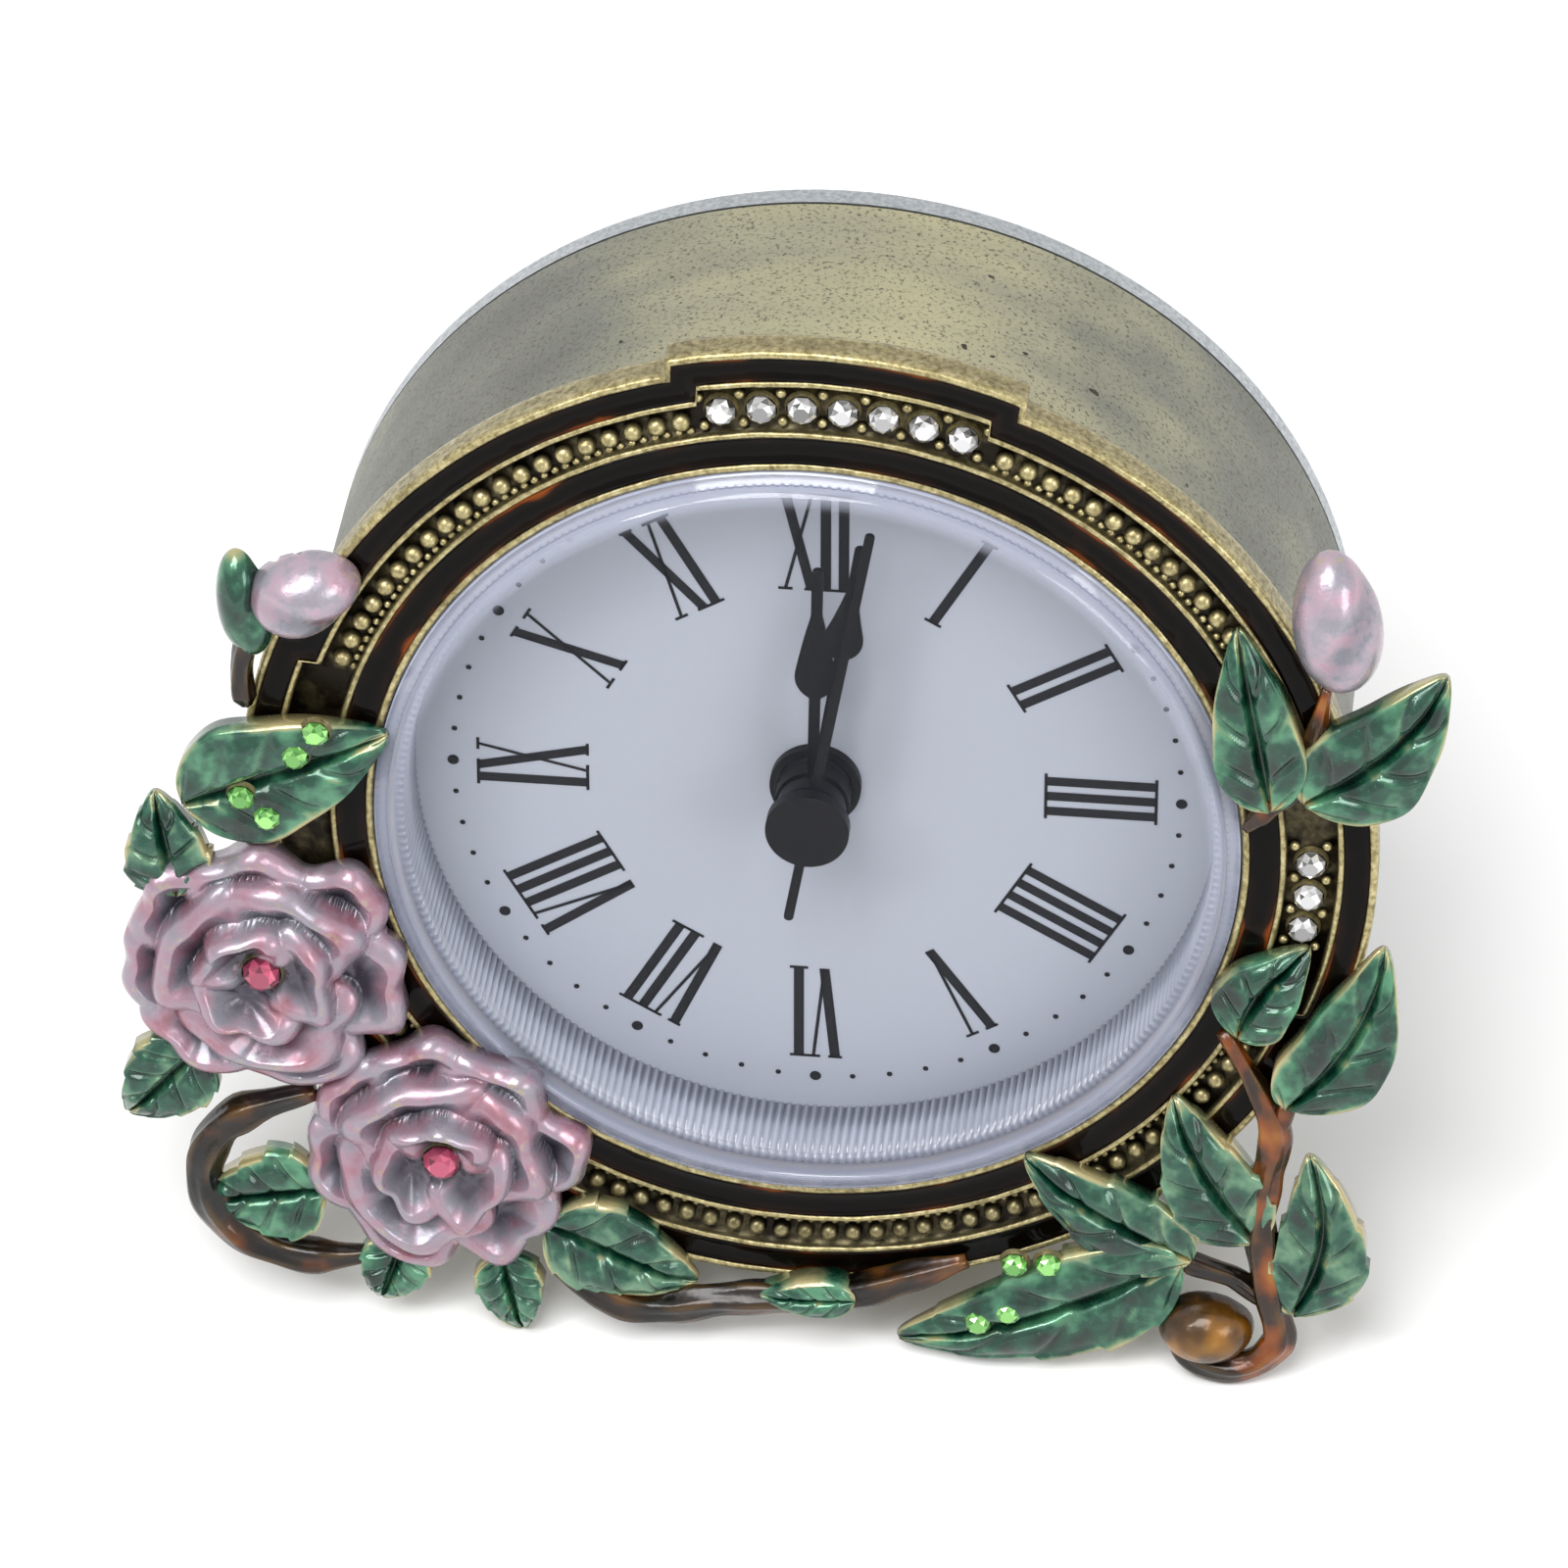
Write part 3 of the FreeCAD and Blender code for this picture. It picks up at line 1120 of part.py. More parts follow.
def bar_face(length, tail, half_bar):
    """A plain bar with round ends, past the axis on both sides."""
    right_low = FreeCAD.Vector(half_bar, 0, half_bar - tail)
    right_high = FreeCAD.Vector(half_bar, 0, length - half_bar)
    left_high = FreeCAD.Vector(-half_bar, 0, length - half_bar)
    left_low = FreeCAD.Vector(-half_bar, 0, half_bar - tail)
    edges = [
        Part.makeLine(right_low, right_high),
        Part.Arc(right_high, FreeCAD.Vector(0, 0, length), left_high).toShape(),
        Part.makeLine(left_high, left_low),
        Part.Arc(left_low, FreeCAD.Vector(0, 0, -tail), right_low).toShape(),
    ]
    return Part.Face(Part.Wire(edges))


def make_hands(hour_plate, minute_plate, cap_front):
    """The three hands on their collars, each turned to the photographed time."""
    hub = S.collar_radius
    bar = S.hand_bar.value / 2
    hour_face = spade_face(S.hour_hand_length.value, bar, S.hour_spade.value / 2, HOUR_SPADE_SHARES)
    minute_face = spade_face(S.minute_hand_length.value, bar, S.minute_spade.value / 2, MINUTE_SPADE_SHARES)
    hour_rear = S.dial_depth - S.boss_proud - S.arbor_gap
    hour = fuse(
        "hour_hand_solid",
        thick("hour_hand_blade", hour_face, hour_plate, S.hand_thickness),
        rod("hour_hand_collar", hub, hour_plate, hour_rear),
    )
    keep("hour_hand", cut("hour_hand", hour, rod("hour_hand_bore", PIPE_RADIUS, hour_plate, hour_rear)))
    minute_rear = hour_plate - S.hand_gap / 2
    minute = fuse(
        "minute_hand_solid",
        thick("minute_hand_blade", minute_face, minute_plate, S.hand_thickness),
        rod("minute_hand_collar", S.minute_collar_radius, minute_plate, minute_rear),
    )
    minute_bore = rod("minute_hand_bore", CANNON_RADIUS, minute_plate, minute_rear)
    keep("minute_hand", cut("minute_hand", minute, minute_bore))
    blade_front = cap_front + S.cap_thickness
    seconds_rear = blade_front + S.hand_thickness
    seconds = fuse(
        "seconds_hand_solid",
        thick("seconds_hand_blade", bar_face(S.seconds_hand_length.value, S.seconds_tail.value,
              S.seconds_bar.value / 2), blade_front, S.hand_thickness),
        rod("seconds_hand_cap", S.cap_radius, cap_front, blade_front),
        rod("seconds_hand_collar", hub / 2, blade_front, seconds_rear + S.hand_gap / 2),
    )
    arbor_front = cap_front + S.cap_thickness / 2
    seconds_bore = rod("seconds_hand_bore", S.arbor_radius, arbor_front, seconds_rear + S.hand_gap / 2)
    keep("seconds_hand", cut("seconds_hand", seconds, seconds_bore))
    for name, angle in (
        ("hour_hand", S.hour_rest), ("minute_hand", S.minute_rest), ("seconds_hand", S.seconds_rest)
    ):
        pieces[name].Placement = FreeCAD.Placement(FreeCAD.Vector(), FreeCAD.Rotation(REARWARD, angle.value))


def face_point(share_across, share_up, depth=0.0):
    """A point of the face from shares of the plate's radius."""
    radius = S.plate_radius.value
    return FreeCAD.Vector(share_across * radius, depth, share_up * radius)


def front_half():
    """A block that holds everything in front of the ornament's back plane."""
    reach = S.plate_radius.value * 2
    return Part.makeBox(reach * 2, reach, reach * 2, FreeCAD.Vector(-reach, -reach, -reach))


def leaf_section(middle, side, half_width, crown):
    """The cross-section of a leaf: flat back, two lobes and a sunken midrib."""
    front = FreeCAD.Vector(0, -1, 0)
    left = middle - side * half_width
    right = middle + side * half_width
    rib = middle + front * (crown * MIDRIB_SHARE)
    right_lobe = middle + side * (half_width * LOBE_SHARE) + front * crown
    left_lobe = middle - side * (half_width * LOBE_SHARE) + front * crown
    return Part.Wire([
        Part.makeLine(left, right),
        Part.Arc(right, right_lobe, rib).toShape(),
        Part.Arc(rib, left_lobe, left).toShape(),
    ])


def leaf_shape(stalk, tip, width, bow):
    """A leaf lofted from stalk to tip, bowed to one side, flat at the back."""
    way = tip - stalk
    right = FreeCAD.Vector(way.z, 0, -way.x).normalize()
    relief = min(S.leaf_crown.value, width * CROWN_SHARE)
    sections = []
    for along, width_share, crown_share in STATION_SHARES:
        middle = stalk + way * along + right * (bow * 4 * along * (1 - along))
        tangent = way + right * (bow * 4 * (1 - 2 * along))
        side = FreeCAD.Vector(tangent.z, 0, -tangent.x).normalize()
        sections.append(leaf_section(middle, side, width / 2 * width_share, relief * crown_share))
    return Part.makeLoft(sections, True, True)


def rounded_path(corners):
    """Straight runs joined by tangent arcs, each as large as its two runs allow."""
    edges = []
    start = corners[0]
    for before, corner, after in zip(corners, corners[1:], corners[2:]):
        back = before - corner
        ahead = after - corner
        shorter = min(back.Length, ahead.Length)
        trim = shorter * CORNER_SHARE
        back.normalize()
        ahead.normalize()
        turn = math.pi - math.acos(max(-1.0, min(1.0, back.dot(ahead))))
        radius = trim / math.tan(turn / 2)
        bisector = (back + ahead).normalize()
        middle = corner + bisector * (radius / math.cos(turn / 2) - radius)
        edges.append(Part.makeLine(start, corner + back * trim))
        edges.append(Part.Arc(corner + back * trim, middle, corner + ahead * trim).toShape())
        start = corner + ahead * trim
    edges.append(Part.makeLine(start, corners[-1]))
    return Part.Wire(edges)


def vine_shape(corners, radius):
    """A round vine along its path, flat where it meets the back plane."""
    depth = FreeCAD.Vector(0, -radius * VINE_SINK_SHARE, 0)
    path = rounded_path([corner + depth for corner in corners])
    start_way = corners[1] - corners[0]
    section = Part.Wire([Part.makeCircle(radius, corners[0] + depth, start_way)])
    tube = path.makePipeShell([section], True, True)
    return tube.common(front_half())


def petal_shape(radius, height):
    """A dished petal turned about its own middle, on the back plane."""
    corners = [FreeCAD.Vector(across * radius, -up * height, 0) for across, up in PETAL_SHARES]
    corners.append(corners[0])
    return Part.Face(Part.makePolygon(corners)).revolve(FreeCAD.Vector(), REARWARD, 360)


def rose_shape(centre, radius, height):
    """A rose of three whorls of dished petals, each whorl taller than the one round it."""
    petals = []
    for count, out_share, radius_share, height_share, first in WHORL_SHARES:
        for index in range(count):
            petal = petal_shape(radius * radius_share, height * height_share)
            angle = first + index * 360 / count
            petal.translate(centre + clock_point(radius * out_share, angle))
            petals.append(petal)
    return petals[0].multiFuse(petals[1:]).removeSplitter()


def bud_shape(centre, half_length, radius, direction):
    """An egg-shaped bud lofted through round sections, flat at the back."""
    angle = math.radians(direction)
    way = FreeCAD.Vector(math.cos(angle), 0, math.sin(angle))
    side = FreeCAD.Vector(way.z, 0, -way.x)
    sections = []
    for along, share in EGG_SHARES:
        middle = centre + way * (half_length * along)
        reach = radius * share
        top = middle + FreeCAD.Vector(0, -reach * (1 + BUD_SINK_SHARE), 0)
        sections.append(Part.Wire([
            Part.makeLine(middle - side * reach, middle + side * reach),
            Part.Arc(middle + side * reach, top, middle - side * reach).toShape(),
        ]))
    return Part.makeLoft(sections, True, True)


def stone_shape(centre, radius, floor):
    """A faceted stone: narrow seat, wide girdle and a small flat table."""
    girdle = floor - S.stone_height.value + S.stone_crown.value
    table = floor - S.stone_height.value
    loops = []
    for share, depth in ((SEAT_SHARE, floor), (1.0, girdle), (TABLE_SHARE, table)):
        corners = []
        for index in range(STONE_SIDES + 1):
            corner = centre + clock_point(radius * share, index * 360 / STONE_SIDES)
            corners.append(FreeCAD.Vector(corner.x, depth, corner.z))
        loops.append(Part.makePolygon(corners))
    return Part.makeLoft(loops, True, True)


class Ornament:
    """The pieces on the face, each cut to clear the lens and to lie against those placed before it."""

    def __init__(self, clearance):
        self.placed = [clearance]

    def seat(self, shape):
        """What is left of a shape beside its neighbours, without slivers."""
        for other in self.placed:
            if shape.BoundBox.intersect(other.BoundBox):
                shape = shape.cut(other)
        largest = max(solid.Volume for solid in shape.Solids)
        solids = [solid for solid in shape.Solids if solid.Volume > largest * SLIVER_SHARE]
        self.placed += solids
        return solids

    def add(self, name, shapes):
        """Seat the shapes of one piece and enter them under one name."""
        solids = []
        for shape in shapes:
            solids += self.seat(shape)
        whole = solids[0] if len(solids) == 1 else Part.Compound(solids)
        keep(name, feature(name, whole))


def make_stones(ornament, bead_start):
    """Clear stones in the top and right panels, and coloured ones on leaves and roses."""
    radius = S.stone_radius.value
    row = bead_start.value + (S.bead_channel_width.value + S.panel_step.value) / 2
    pitch = math.degrees(2 * radius * CREST_PITCH_SHARE / row)
    floor = S.bead_channel_depth.value
    for name, count, middle in (
        ("crest_stones", CREST_STONES, S.ornament_turn.value),
        ("side_stones", SIDE_STONES, S.ornament_turn.value + 90),
    ):
        shapes = []
        for index in range(count):
            angle = middle + (index - (count - 1) / 2) * pitch
            shapes.append(stone_shape(clock_point(row, angle), radius, floor))
        ornament.add(name, shapes)
    green = S.green_stone_radius.value
    seat = -S.leaf_crown.value * MIDRIB_SHARE
    for name, places in (("left_leaf_stones", LEFT_STONE_SHARES), ("right_leaf_stones", RIGHT_STONE_SHARES)):
        ornament.add(name, [stone_shape(face_point(*at), green, seat) for at in places])
    shapes = []
    for across, up, rose_radius in ROSE_SHARES.values():
        right, above = (share * rose_radius for share in ROSE_STONE_SHARES)
        centre = face_point(across + right, up + above)
        seat = -S.rose_height.value * PETAL_SHARES[-1][1]
        shapes.append(stone_shape(centre, S.rose_stone_radius.value, seat))
    ornament.add("rose_stones", shapes)


def make_leaf(shares):
    """One leaf from its row of shares."""
    stalk_across, stalk_up, tip_across, tip_up, width, bow = shares
    radius = S.plate_radius.value
    return leaf_shape(
        face_point(stalk_across, stalk_up), face_point(tip_across, tip_up), width * radius, bow * radius
    )


def make_ornament(bead_start):
    """Stones, roses, buds, leaves and vines, in the order in which they overlap."""
    rim = S.lens_radius.value + S.fit_gap.value
    front = S.lens_proud.value + S.fit_gap.value
    ornament = Ornament(Part.makeCylinder(rim, front, FreeCAD.Vector(), FreeCAD.Vector(0, -1, 0)))
    make_stones(ornament, bead_start)
    radius = S.plate_radius.value
    for name, (across, up, rose_radius) in ROSE_SHARES.items():
        rose = rose_shape(face_point(across, up), rose_radius * radius, S.rose_height.value)
        ornament.add(name, [rose])
    for name, (across, up, half_length, bud_radius, direction) in BUD_SHARES.items():
        bud = bud_shape(face_point(across, up), half_length * radius, bud_radius * radius, direction)
        ornament.add(name, [bud])
    stalk_across, stalk_up, tip_across, width = FOOT_LEAF_SHARES
    foot_tip = FreeCAD.Vector(tip_across * radius, 0, -S.foot_reach.value)
    foot_leaf = leaf_shape(face_point(stalk_across, stalk_up), foot_tip, width * radius, 0.0)
    for name, rows in LEAF_SHARES.items():
        shapes = [make_leaf(row) for row in rows]
        if name == "small_rose_leaf":
            ornament.add("foot_leaves", shapes + [foot_leaf])
        else:
            ornament.add(name, shapes)
    vine = S.vine_radius.value
    foot_centre = vine - S.foot_reach.value
    curl = [face_point(*at) for at in RIGHT_VINE_SHARES]
    for across, above in CURL_SHARES:
        curl.append(FreeCAD.Vector(across * radius, 0, foot_centre + above * radius))
    ball_radius = S.curl_ball_radius.value
    ball_across, ball_above = (share * radius for share in CURL_BALL_SHARES)
    ball_at = FreeCAD.Vector(ball_across, -ball_radius * BUD_SINK_SHARE, foot_centre + ball_above)
    ball = Part.makeSphere(ball_radius, ball_at).common(front_half())
    ornament.add("right_vine", [vine_shape(curl, vine).fuse(ball).removeSplitter()])
    stem = S.stem_radius.value
    for name, shares, tube in (
        ("left_vine_loop", LOOP_SHARES, S.loop_radius.value),
        ("bottom_vine", BOTTOM_VINE_SHARES, vine),
        ("right_bud_stem", RIGHT_STEM_SHARES, stem),
        ("left_bud_stem", LEFT_STEM_SHARES, stem),
    ):
        ornament.add(name, [vine_shape([face_point(*at) for at in shares], tube)])


def lean_back():
    """Turn every piece to the way the clock stands, with the origin under the middle of its box."""
    lean = math.degrees(math.atan2((S.foot_reach - S.drum_radius).value, BACK_DEPTH.value))
    turn = FreeCAD.Placement(FreeCAD.Vector(), FreeCAD.Rotation(FreeCAD.Vector(1, 0, 0), -lean))
    box = FreeCAD.BoundBox()
    for item in pieces.values():
        item.Placement = turn.multiply(item.Placement)
        box.add(item.Shape.optimalBoundingBox(False))
    shift = FreeCAD.Vector(-box.Center.x, -box.Center.y, -box.ZMin)
    for item in pieces.values():
        item.Placement.Base = item.Placement.Base + shift
    doc.recompute()
    print("lean", round(lean, 4), "axis passes through", [round(value, 4) for value in shift])
    print("box", round(box.XLength, 2), round(box.YLength, 2), round(box.ZLength, 2))


def check_and_write():
    """Stop on any failed object or bad shape, then write one file for each piece."""
    for item in doc.Objects:
        if "Invalid" in item.State or "Error" in item.State:
            raise RuntimeError("failed: " + item.Name)
    for name, item in pieces.items():
        if item.Shape.isNull() or not item.Shape.isValid() or item.Shape.Volume <= 0:
            raise RuntimeError("bad shape: " + name)
    os.makedirs("parts", exist_ok=True)
    for name, item in pieces.items():
        item.Shape.exportStep("parts/" + name + ".step")
        print(name, len(item.Shape.Solids), round(item.Shape.Volume, 2))
    print(len(pieces), "pieces")


BEAD_START = make_front_casting()
make_drum()
make_insert()
WELL_FRONT = make_movement_case()
make_battery_cover()
make_electrics(WELL_FRONT)
HOUR_PLATE, MINUTE_PLATE = make_motion_work()
CAP_FRONT = make_train(MINUTE_PLATE)
make_hands(HOUR_PLATE, MINUTE_PLATE, CAP_FRONT)
make_ornament(BEAD_START)
doc.recompute()
lean_back()
check_and_write()
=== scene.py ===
"""Looks of a small round table clock that leans back on its drum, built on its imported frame."""

import json
import logging
import math
from dataclasses import dataclass, field
from enum import Enum
from typing import Callable, Sequence

import bmesh
import bpy
from bmesh.types import BMesh, BMVert
from mathutils import Matrix, Vector

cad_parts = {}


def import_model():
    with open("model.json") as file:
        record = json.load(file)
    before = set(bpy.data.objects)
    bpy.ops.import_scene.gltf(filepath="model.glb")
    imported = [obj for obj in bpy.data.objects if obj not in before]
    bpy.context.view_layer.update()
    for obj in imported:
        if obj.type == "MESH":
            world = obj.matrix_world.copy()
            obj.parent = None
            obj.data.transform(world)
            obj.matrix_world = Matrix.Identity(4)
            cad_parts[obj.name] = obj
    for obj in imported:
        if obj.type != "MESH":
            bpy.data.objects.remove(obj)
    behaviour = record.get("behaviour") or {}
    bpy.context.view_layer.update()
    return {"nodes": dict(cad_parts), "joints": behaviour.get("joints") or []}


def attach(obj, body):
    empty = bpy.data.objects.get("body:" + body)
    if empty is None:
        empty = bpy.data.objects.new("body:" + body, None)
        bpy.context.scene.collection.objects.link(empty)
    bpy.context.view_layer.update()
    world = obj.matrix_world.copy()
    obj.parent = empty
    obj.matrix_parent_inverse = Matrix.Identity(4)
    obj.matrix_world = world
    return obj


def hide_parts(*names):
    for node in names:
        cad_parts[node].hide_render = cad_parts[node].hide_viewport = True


logging.basicConfig(level=logging.INFO, format="%(relativeCreated)d ms %(message)s")
LOG = logging.getLogger("clock")

# One millimetre in the frame's metres.
MM = 0.001

# The clock's main sizes in millimetres and degrees, as in part.py. Depth 0 is the front of the ridges.
PLATE_RADIUS = 41.3
PIVOT_BEHIND_FACE = 8.0
DIAL_DEPTH = 7.7
CHANNEL_FLOOR = 0.9
PANEL_TURN = 4.0
PANEL_STEP = 1.3
PANEL_HALF = 15.9
PANEL_MIDDLES = (0, 90, 270)
STONE_PITCH = 4.52
FOOT_REACH = 47.5

# Flat backs lie this far in front of depth 0, and a face counts as a back within the slack.
BACK_PLANE = -0.02
BACK_SLACK = 0.01
WELD_REACH = 1e-5

# Turns a flat disc or circle to face the front.
TO_FRONT = Matrix.Rotation(math.pi / 2, 4, "X")

ACRYLIC_IOR = 1.49
GLASS_ENAMEL_IOR = 1.5
METAL_BASED_ENAMEL_IOR = 1.55
PLASTIC_IOR = 1.53

# Nearly all values of a noise lie between these.
NOISE_RANGE = (0.3, 0.7)

# How strong the white surround is for rays that light the clock.
SURROUND = 0.68
WHITE = "#FFFFFF"

Place = tuple[float, float]
Spot = tuple[float, float, float]
# Stalk, tip, width and how far the middle bows, in shares of the plate's radius.
Leaf = tuple[float, float, float, float, float, float]
Socket = bpy.types.NodeSocket


class Edge(Enum):
    """How a leaf's edge is cut: the height of its teeth or ripples as a share of its half width."""

    RIPPLED = 0.025
    TOOTHED = 0.10


def clock_frame(joints: Sequence[dict]) -> Matrix:
    """Work out where the dial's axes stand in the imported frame.

    Args:
        joints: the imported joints, of which the hour hand's gives the axis.

    Returns:
        The matrix from the clock's own millimetres to the frame's metres: X right, Y rearward, Z up the dial.
    """
    pivot = next(joint for joint in joints if joint["name"] == "hour_spin")
    rearward = Vector(pivot["axis"]).normalized()
    right = Vector((1.0, 0.0, 0.0))
    upward = right.cross(rearward)
    origin = Vector(pivot["pos_m"]) - rearward * (PIVOT_BEHIND_FACE * MM)
    turn = Matrix((right, rearward, upward)).transposed().to_4x4()
    return Matrix.Translation(origin) @ turn @ Matrix.Scale(MM, 4)


def linear(colour: str) -> tuple[float, float, float, float]:
    """Turn an sRGB hex colour into the linear values that shaders take, by the sRGB curve.

    Args:
        colour: six hex digits after a hash.

    Returns:
        Linear red, green, blue and an alpha of 1.
    """
    parts = [int(colour[i:i + 2], 16) / 255 for i in (1, 3, 5)]
    made = [p / 12.92 if p <= 0.04045 else ((p + 0.055) / 1.055) ** 2.4 for p in parts]
    return (made[0], made[1], made[2], 1.0)


def looking_rays(tree: bpy.types.NodeTree) -> Socket:
    """Tell the rays that look at a background from those that light the clock.

    Args:
        tree: the node tree that takes the nodes.

    Returns:
        A socket that is 1 for camera, glossy and transmission rays and 0 for others.
    """
    rays = tree.nodes.new("ShaderNodeLightPath")
    seen = rays.outputs["Is Camera Ray"]
    for kind in ("Is Glossy Ray", "Is Transmission Ray"):
        either = tree.nodes.new("ShaderNodeMath")
        either.operation = "MAXIMUM"
        tree.links.new(seen, either.inputs[0])
        tree.links.new(rays.outputs[kind], either.inputs[1])
        seen = either.outputs[0]
    return seen


class Finish:
    """Builds one node material a node at a time."""

    def __init__(self, name: str) -> None:
        """Start a material with an empty node tree and one surface shader.

        Args:
            name: the material's name, after the real finish.
        """
        self.material = bpy.data.materials.new(name)
        self.material.use_nodes = True
        self.nodes = self.material.node_tree.nodes
        self.links = self.material.node_tree.links
        self.shader = self.nodes["Principled BSDF"]

    def feed(self, socket: Socket, value: object) -> None:
        """Link a socket to an output, or set its value.

        Args:
            socket: the input.
            value: an output socket or a plain value.
        """
        if isinstance(value, Socket):
            self.links.new(value, socket)
        else:
            socket.default_value = value

    def add(self, kind: str, inputs: dict | None = None, **settings: object) -> bpy.types.Node:
        """Add a node with its settings and links.

        Args:
            kind: the node's type name.
            inputs: values or output sockets for its inputs, by name or number.
            settings: properties of the node itself.

        Returns:
            The new node.
        """
        node = self.nodes.new(kind)
        for key, value in settings.items():
            setattr(node, key, value)
        for key, value in (inputs or {}).items():
            self.feed(node.inputs[key], value)
        return node

    def surface(self, **values: object) -> None:
        """Set or link the surface shader's sockets.

        Args:
            values: a value or an output socket for each input, named with underscores for spaces.
        """
        for key, value in values.items():
            self.feed(self.shader.inputs[key.replace("_", " ")], value)

    def noise(self, size_mm: float, detail: float = 3.0, rough: float = 0.55) -> Socket:
        """Noise on object coordinates.

        Args:
            size_mm: the size of its larger blotches in millimetres.
            detail: octaves.
            rough: strength of the finer octaves.

        Returns:
            The noise value's socket.
        """
        place = self.add("ShaderNodeTexCoord").outputs["Object"]
        inputs = {"Vector": place, "Scale": 1 / (size_mm * MM), "Detail": detail, "Roughness": rough}
        return self.add("ShaderNodeTexNoise", inputs).outputs[0]

    def ramp(self, factor: Socket, *stops: tuple[float, str]) -> Socket:
        """Colours along a factor.

        Args:
            factor: the socket that chooses the colour.
            stops: places from 0 to 1, each with its hex colour.

        Returns:
            The colour socket.
        """
        node = self.add("ShaderNodeValToRGB", {"Fac": factor})
        elements = node.color_ramp.elements
        while len(elements) < len(stops):
            elements.new(0.5)
        for element, (place, colour) in zip(elements, stops):
            element.position = place
            element.color = linear(colour)
        return node.outputs["Color"]

    def blend(self, factor: Socket, first: Socket | str, second: Socket | str) -> Socket:
        """Mix two colours.

        Args:
            factor: 0 for the first colour, 1 for the second.
            first: a colour socket or a hex colour.
            second: another one.

        Returns:
            The mixed colour's socket.
        """
        node = self.add("ShaderNodeMix", {"Factor": factor}, data_type="RGBA")
        for name, value in (("A", first), ("B", second)):
            socket = next(s for s in node.inputs if s.name == name and s.type == "RGBA")
            self.feed(socket, linear(value) if isinstance(value, str) else value)
        return next(s for s in node.outputs if s.type == "RGBA")

    def spread(self, value: Socket, low: float, high: float,
               start: float = 0.0, end: float = 1.0) -> Socket:
        """Map a value from one range to another and give its socket."""
        inputs = {"Value": value, "From Min": low, "From Max": high, "To Min": start, "To Max": end}
        return self.add("ShaderNodeMapRange", inputs).outputs[0]

    def vary_roughness(self, noise: Socket, low: float, high: float) -> None:
        """Let the roughness run from one value where the noise is dark to another where it is bright."""
        self.surface(Roughness=self.spread(noise, *NOISE_RANGE, low, high))

    def bump(self, height: Socket, depth_mm: float, strength: float = 0.6) -> None:
        """Give the surface relief of a real depth.

        Args:
            height: the socket that the relief follows.
            depth_mm: its depth in millimetres.
            strength: how much of it shows.
        """
        inputs = {"Height": height, "Strength": strength, "Distance": depth_mm * MM}
        node = self.add("ShaderNodeBump", inputs)
        self.links.new(node.outputs["Normal"], self.shader.inputs["Normal"])

    def math(self, operation: str, first: Socket | float, second: Socket | float = 0.0) -> Socket:
        """Join two numbers by an operation and give the result's socket."""
        return self.add("ShaderNodeMath", {0: first, 1: second}, operation=operation).outputs[0]

    def attribute(self, name: str) -> Socket:
        """Read a number that a piece carries on its points."""
        return self.add("ShaderNodeAttribute", attribute_name=name).outputs["Fac"]


@dataclass(frozen=True)
class AntiqueBrass:
    """Blasted brass, darkened and rubbed back: satin and grainy, with a painted warm highlight on top that
    fades to grey down its sides.
    """

    grain_mm: float = 0.32
    patch_mm: float = 24.0
    streak_mm: float = 7.0
    pit_mm: float = 1.5
    # Where the painted warm highlight is centred across the drum, and how far to each side it fades out.
    painted_highlight_middle_mm: float = 9.0
    painted_highlight_half_mm: float = 30.0

    def make(self) -> bpy.types.Material:
        """Build the drum's material.

        Returns:
            The material.
        """
        it = Finish("antique_brass")
        place = it.add("ShaderNodeTexCoord").outputs["Object"]
        stretch = it.add("ShaderNodeMapping", {"Vector": place, "Scale": (0.35, 1.0, 1.0)}).outputs[0]
        patches, streaks = (
            it.add("ShaderNodeTexNoise", {"Vector": stretch, "Scale": 1 / (size * MM), "Detail": detail})
            for size, detail in ((self.patch_mm, 4.0), (self.streak_mm, 7.0)))
        both = it.math("ADD", patches.outputs[0], streaks.outputs[0])
        # Painted highlight: warmer and lighter near the middle across, fading to grey towards the sides.
        across = it.add("ShaderNodeSeparateXYZ", {0: place}).outputs["X"]
        aside = it.math("ABSOLUTE", it.math("SUBTRACT", across, self.painted_highlight_middle_mm * MM))
        painted_highlight_share = it.spread(aside, self.painted_highlight_half_mm * MM, 0.0)
        mottle = it.spread(both, 0.70, 1.30, 0.05, 0.50)
        tone = it.math("ADD", mottle, it.math("MULTIPLY", painted_highlight_share, 0.50))
        body = it.ramp(tone, (0.0, "#63645D"), (0.34, "#7B7C73"), (0.62, "#9F9D85"), (1.0, "#BDB692"))
        grain = it.noise(self.grain_mm, 5.0, 0.7)
        specks = it.spread(grain, 0.37, 0.46)
        pits = it.spread(it.noise(self.pit_mm, 1.0), 0.755, 0.775)
        spotted = it.blend(specks, "#5A584C", body)
        it.surface(Base_Color=it.blend(pits, spotted, "#3A3428"), Metallic=0.75)
        it.vary_roughness(grain, 0.58, 0.44)
        it.bump(it.math("SUBTRACT", grain, pits), 0.06, 0.6)
        return it.material


@dataclass(frozen=True)
class RubbedGold:
    """Cast brass plated gold, with near black patina left wherever it is sunk."""

    grain_mm: float = 0.45
    stain_mm: float = 3.2

    def make(self) -> bpy.types.Material:
        """Build the casting's material, which reads the patina that its points carry.

        Returns:
            The material.
        """
        it = Finish("rubbed_gold_casting")
        grain = it.noise(self.grain_mm, 4.0, 0.65)
        stain = it.noise(self.stain_mm, 3.0, 0.6)
        tone = it.ramp(grain, (0.30, "#6E6444"), (0.50, "#A89C70"), (0.72, "#CDC298"))
        dulled = it.blend(it.spread(stain, 0.52, 0.75, 0.0, 0.6), tone, "#4E442B")
        sunk = it.math("MULTIPLY", it.attribute("patina"), it.spread(stain, 0.3, 0.6, 1.15, 0.85))
        it.surface(Base_Color=it.blend(sunk, dulled, "#19130A"), Metallic=0.8)
        it.vary_roughness(grain, 0.42, 0.28)
        it.bump(grain, 0.06, 0.6)
        return it.material


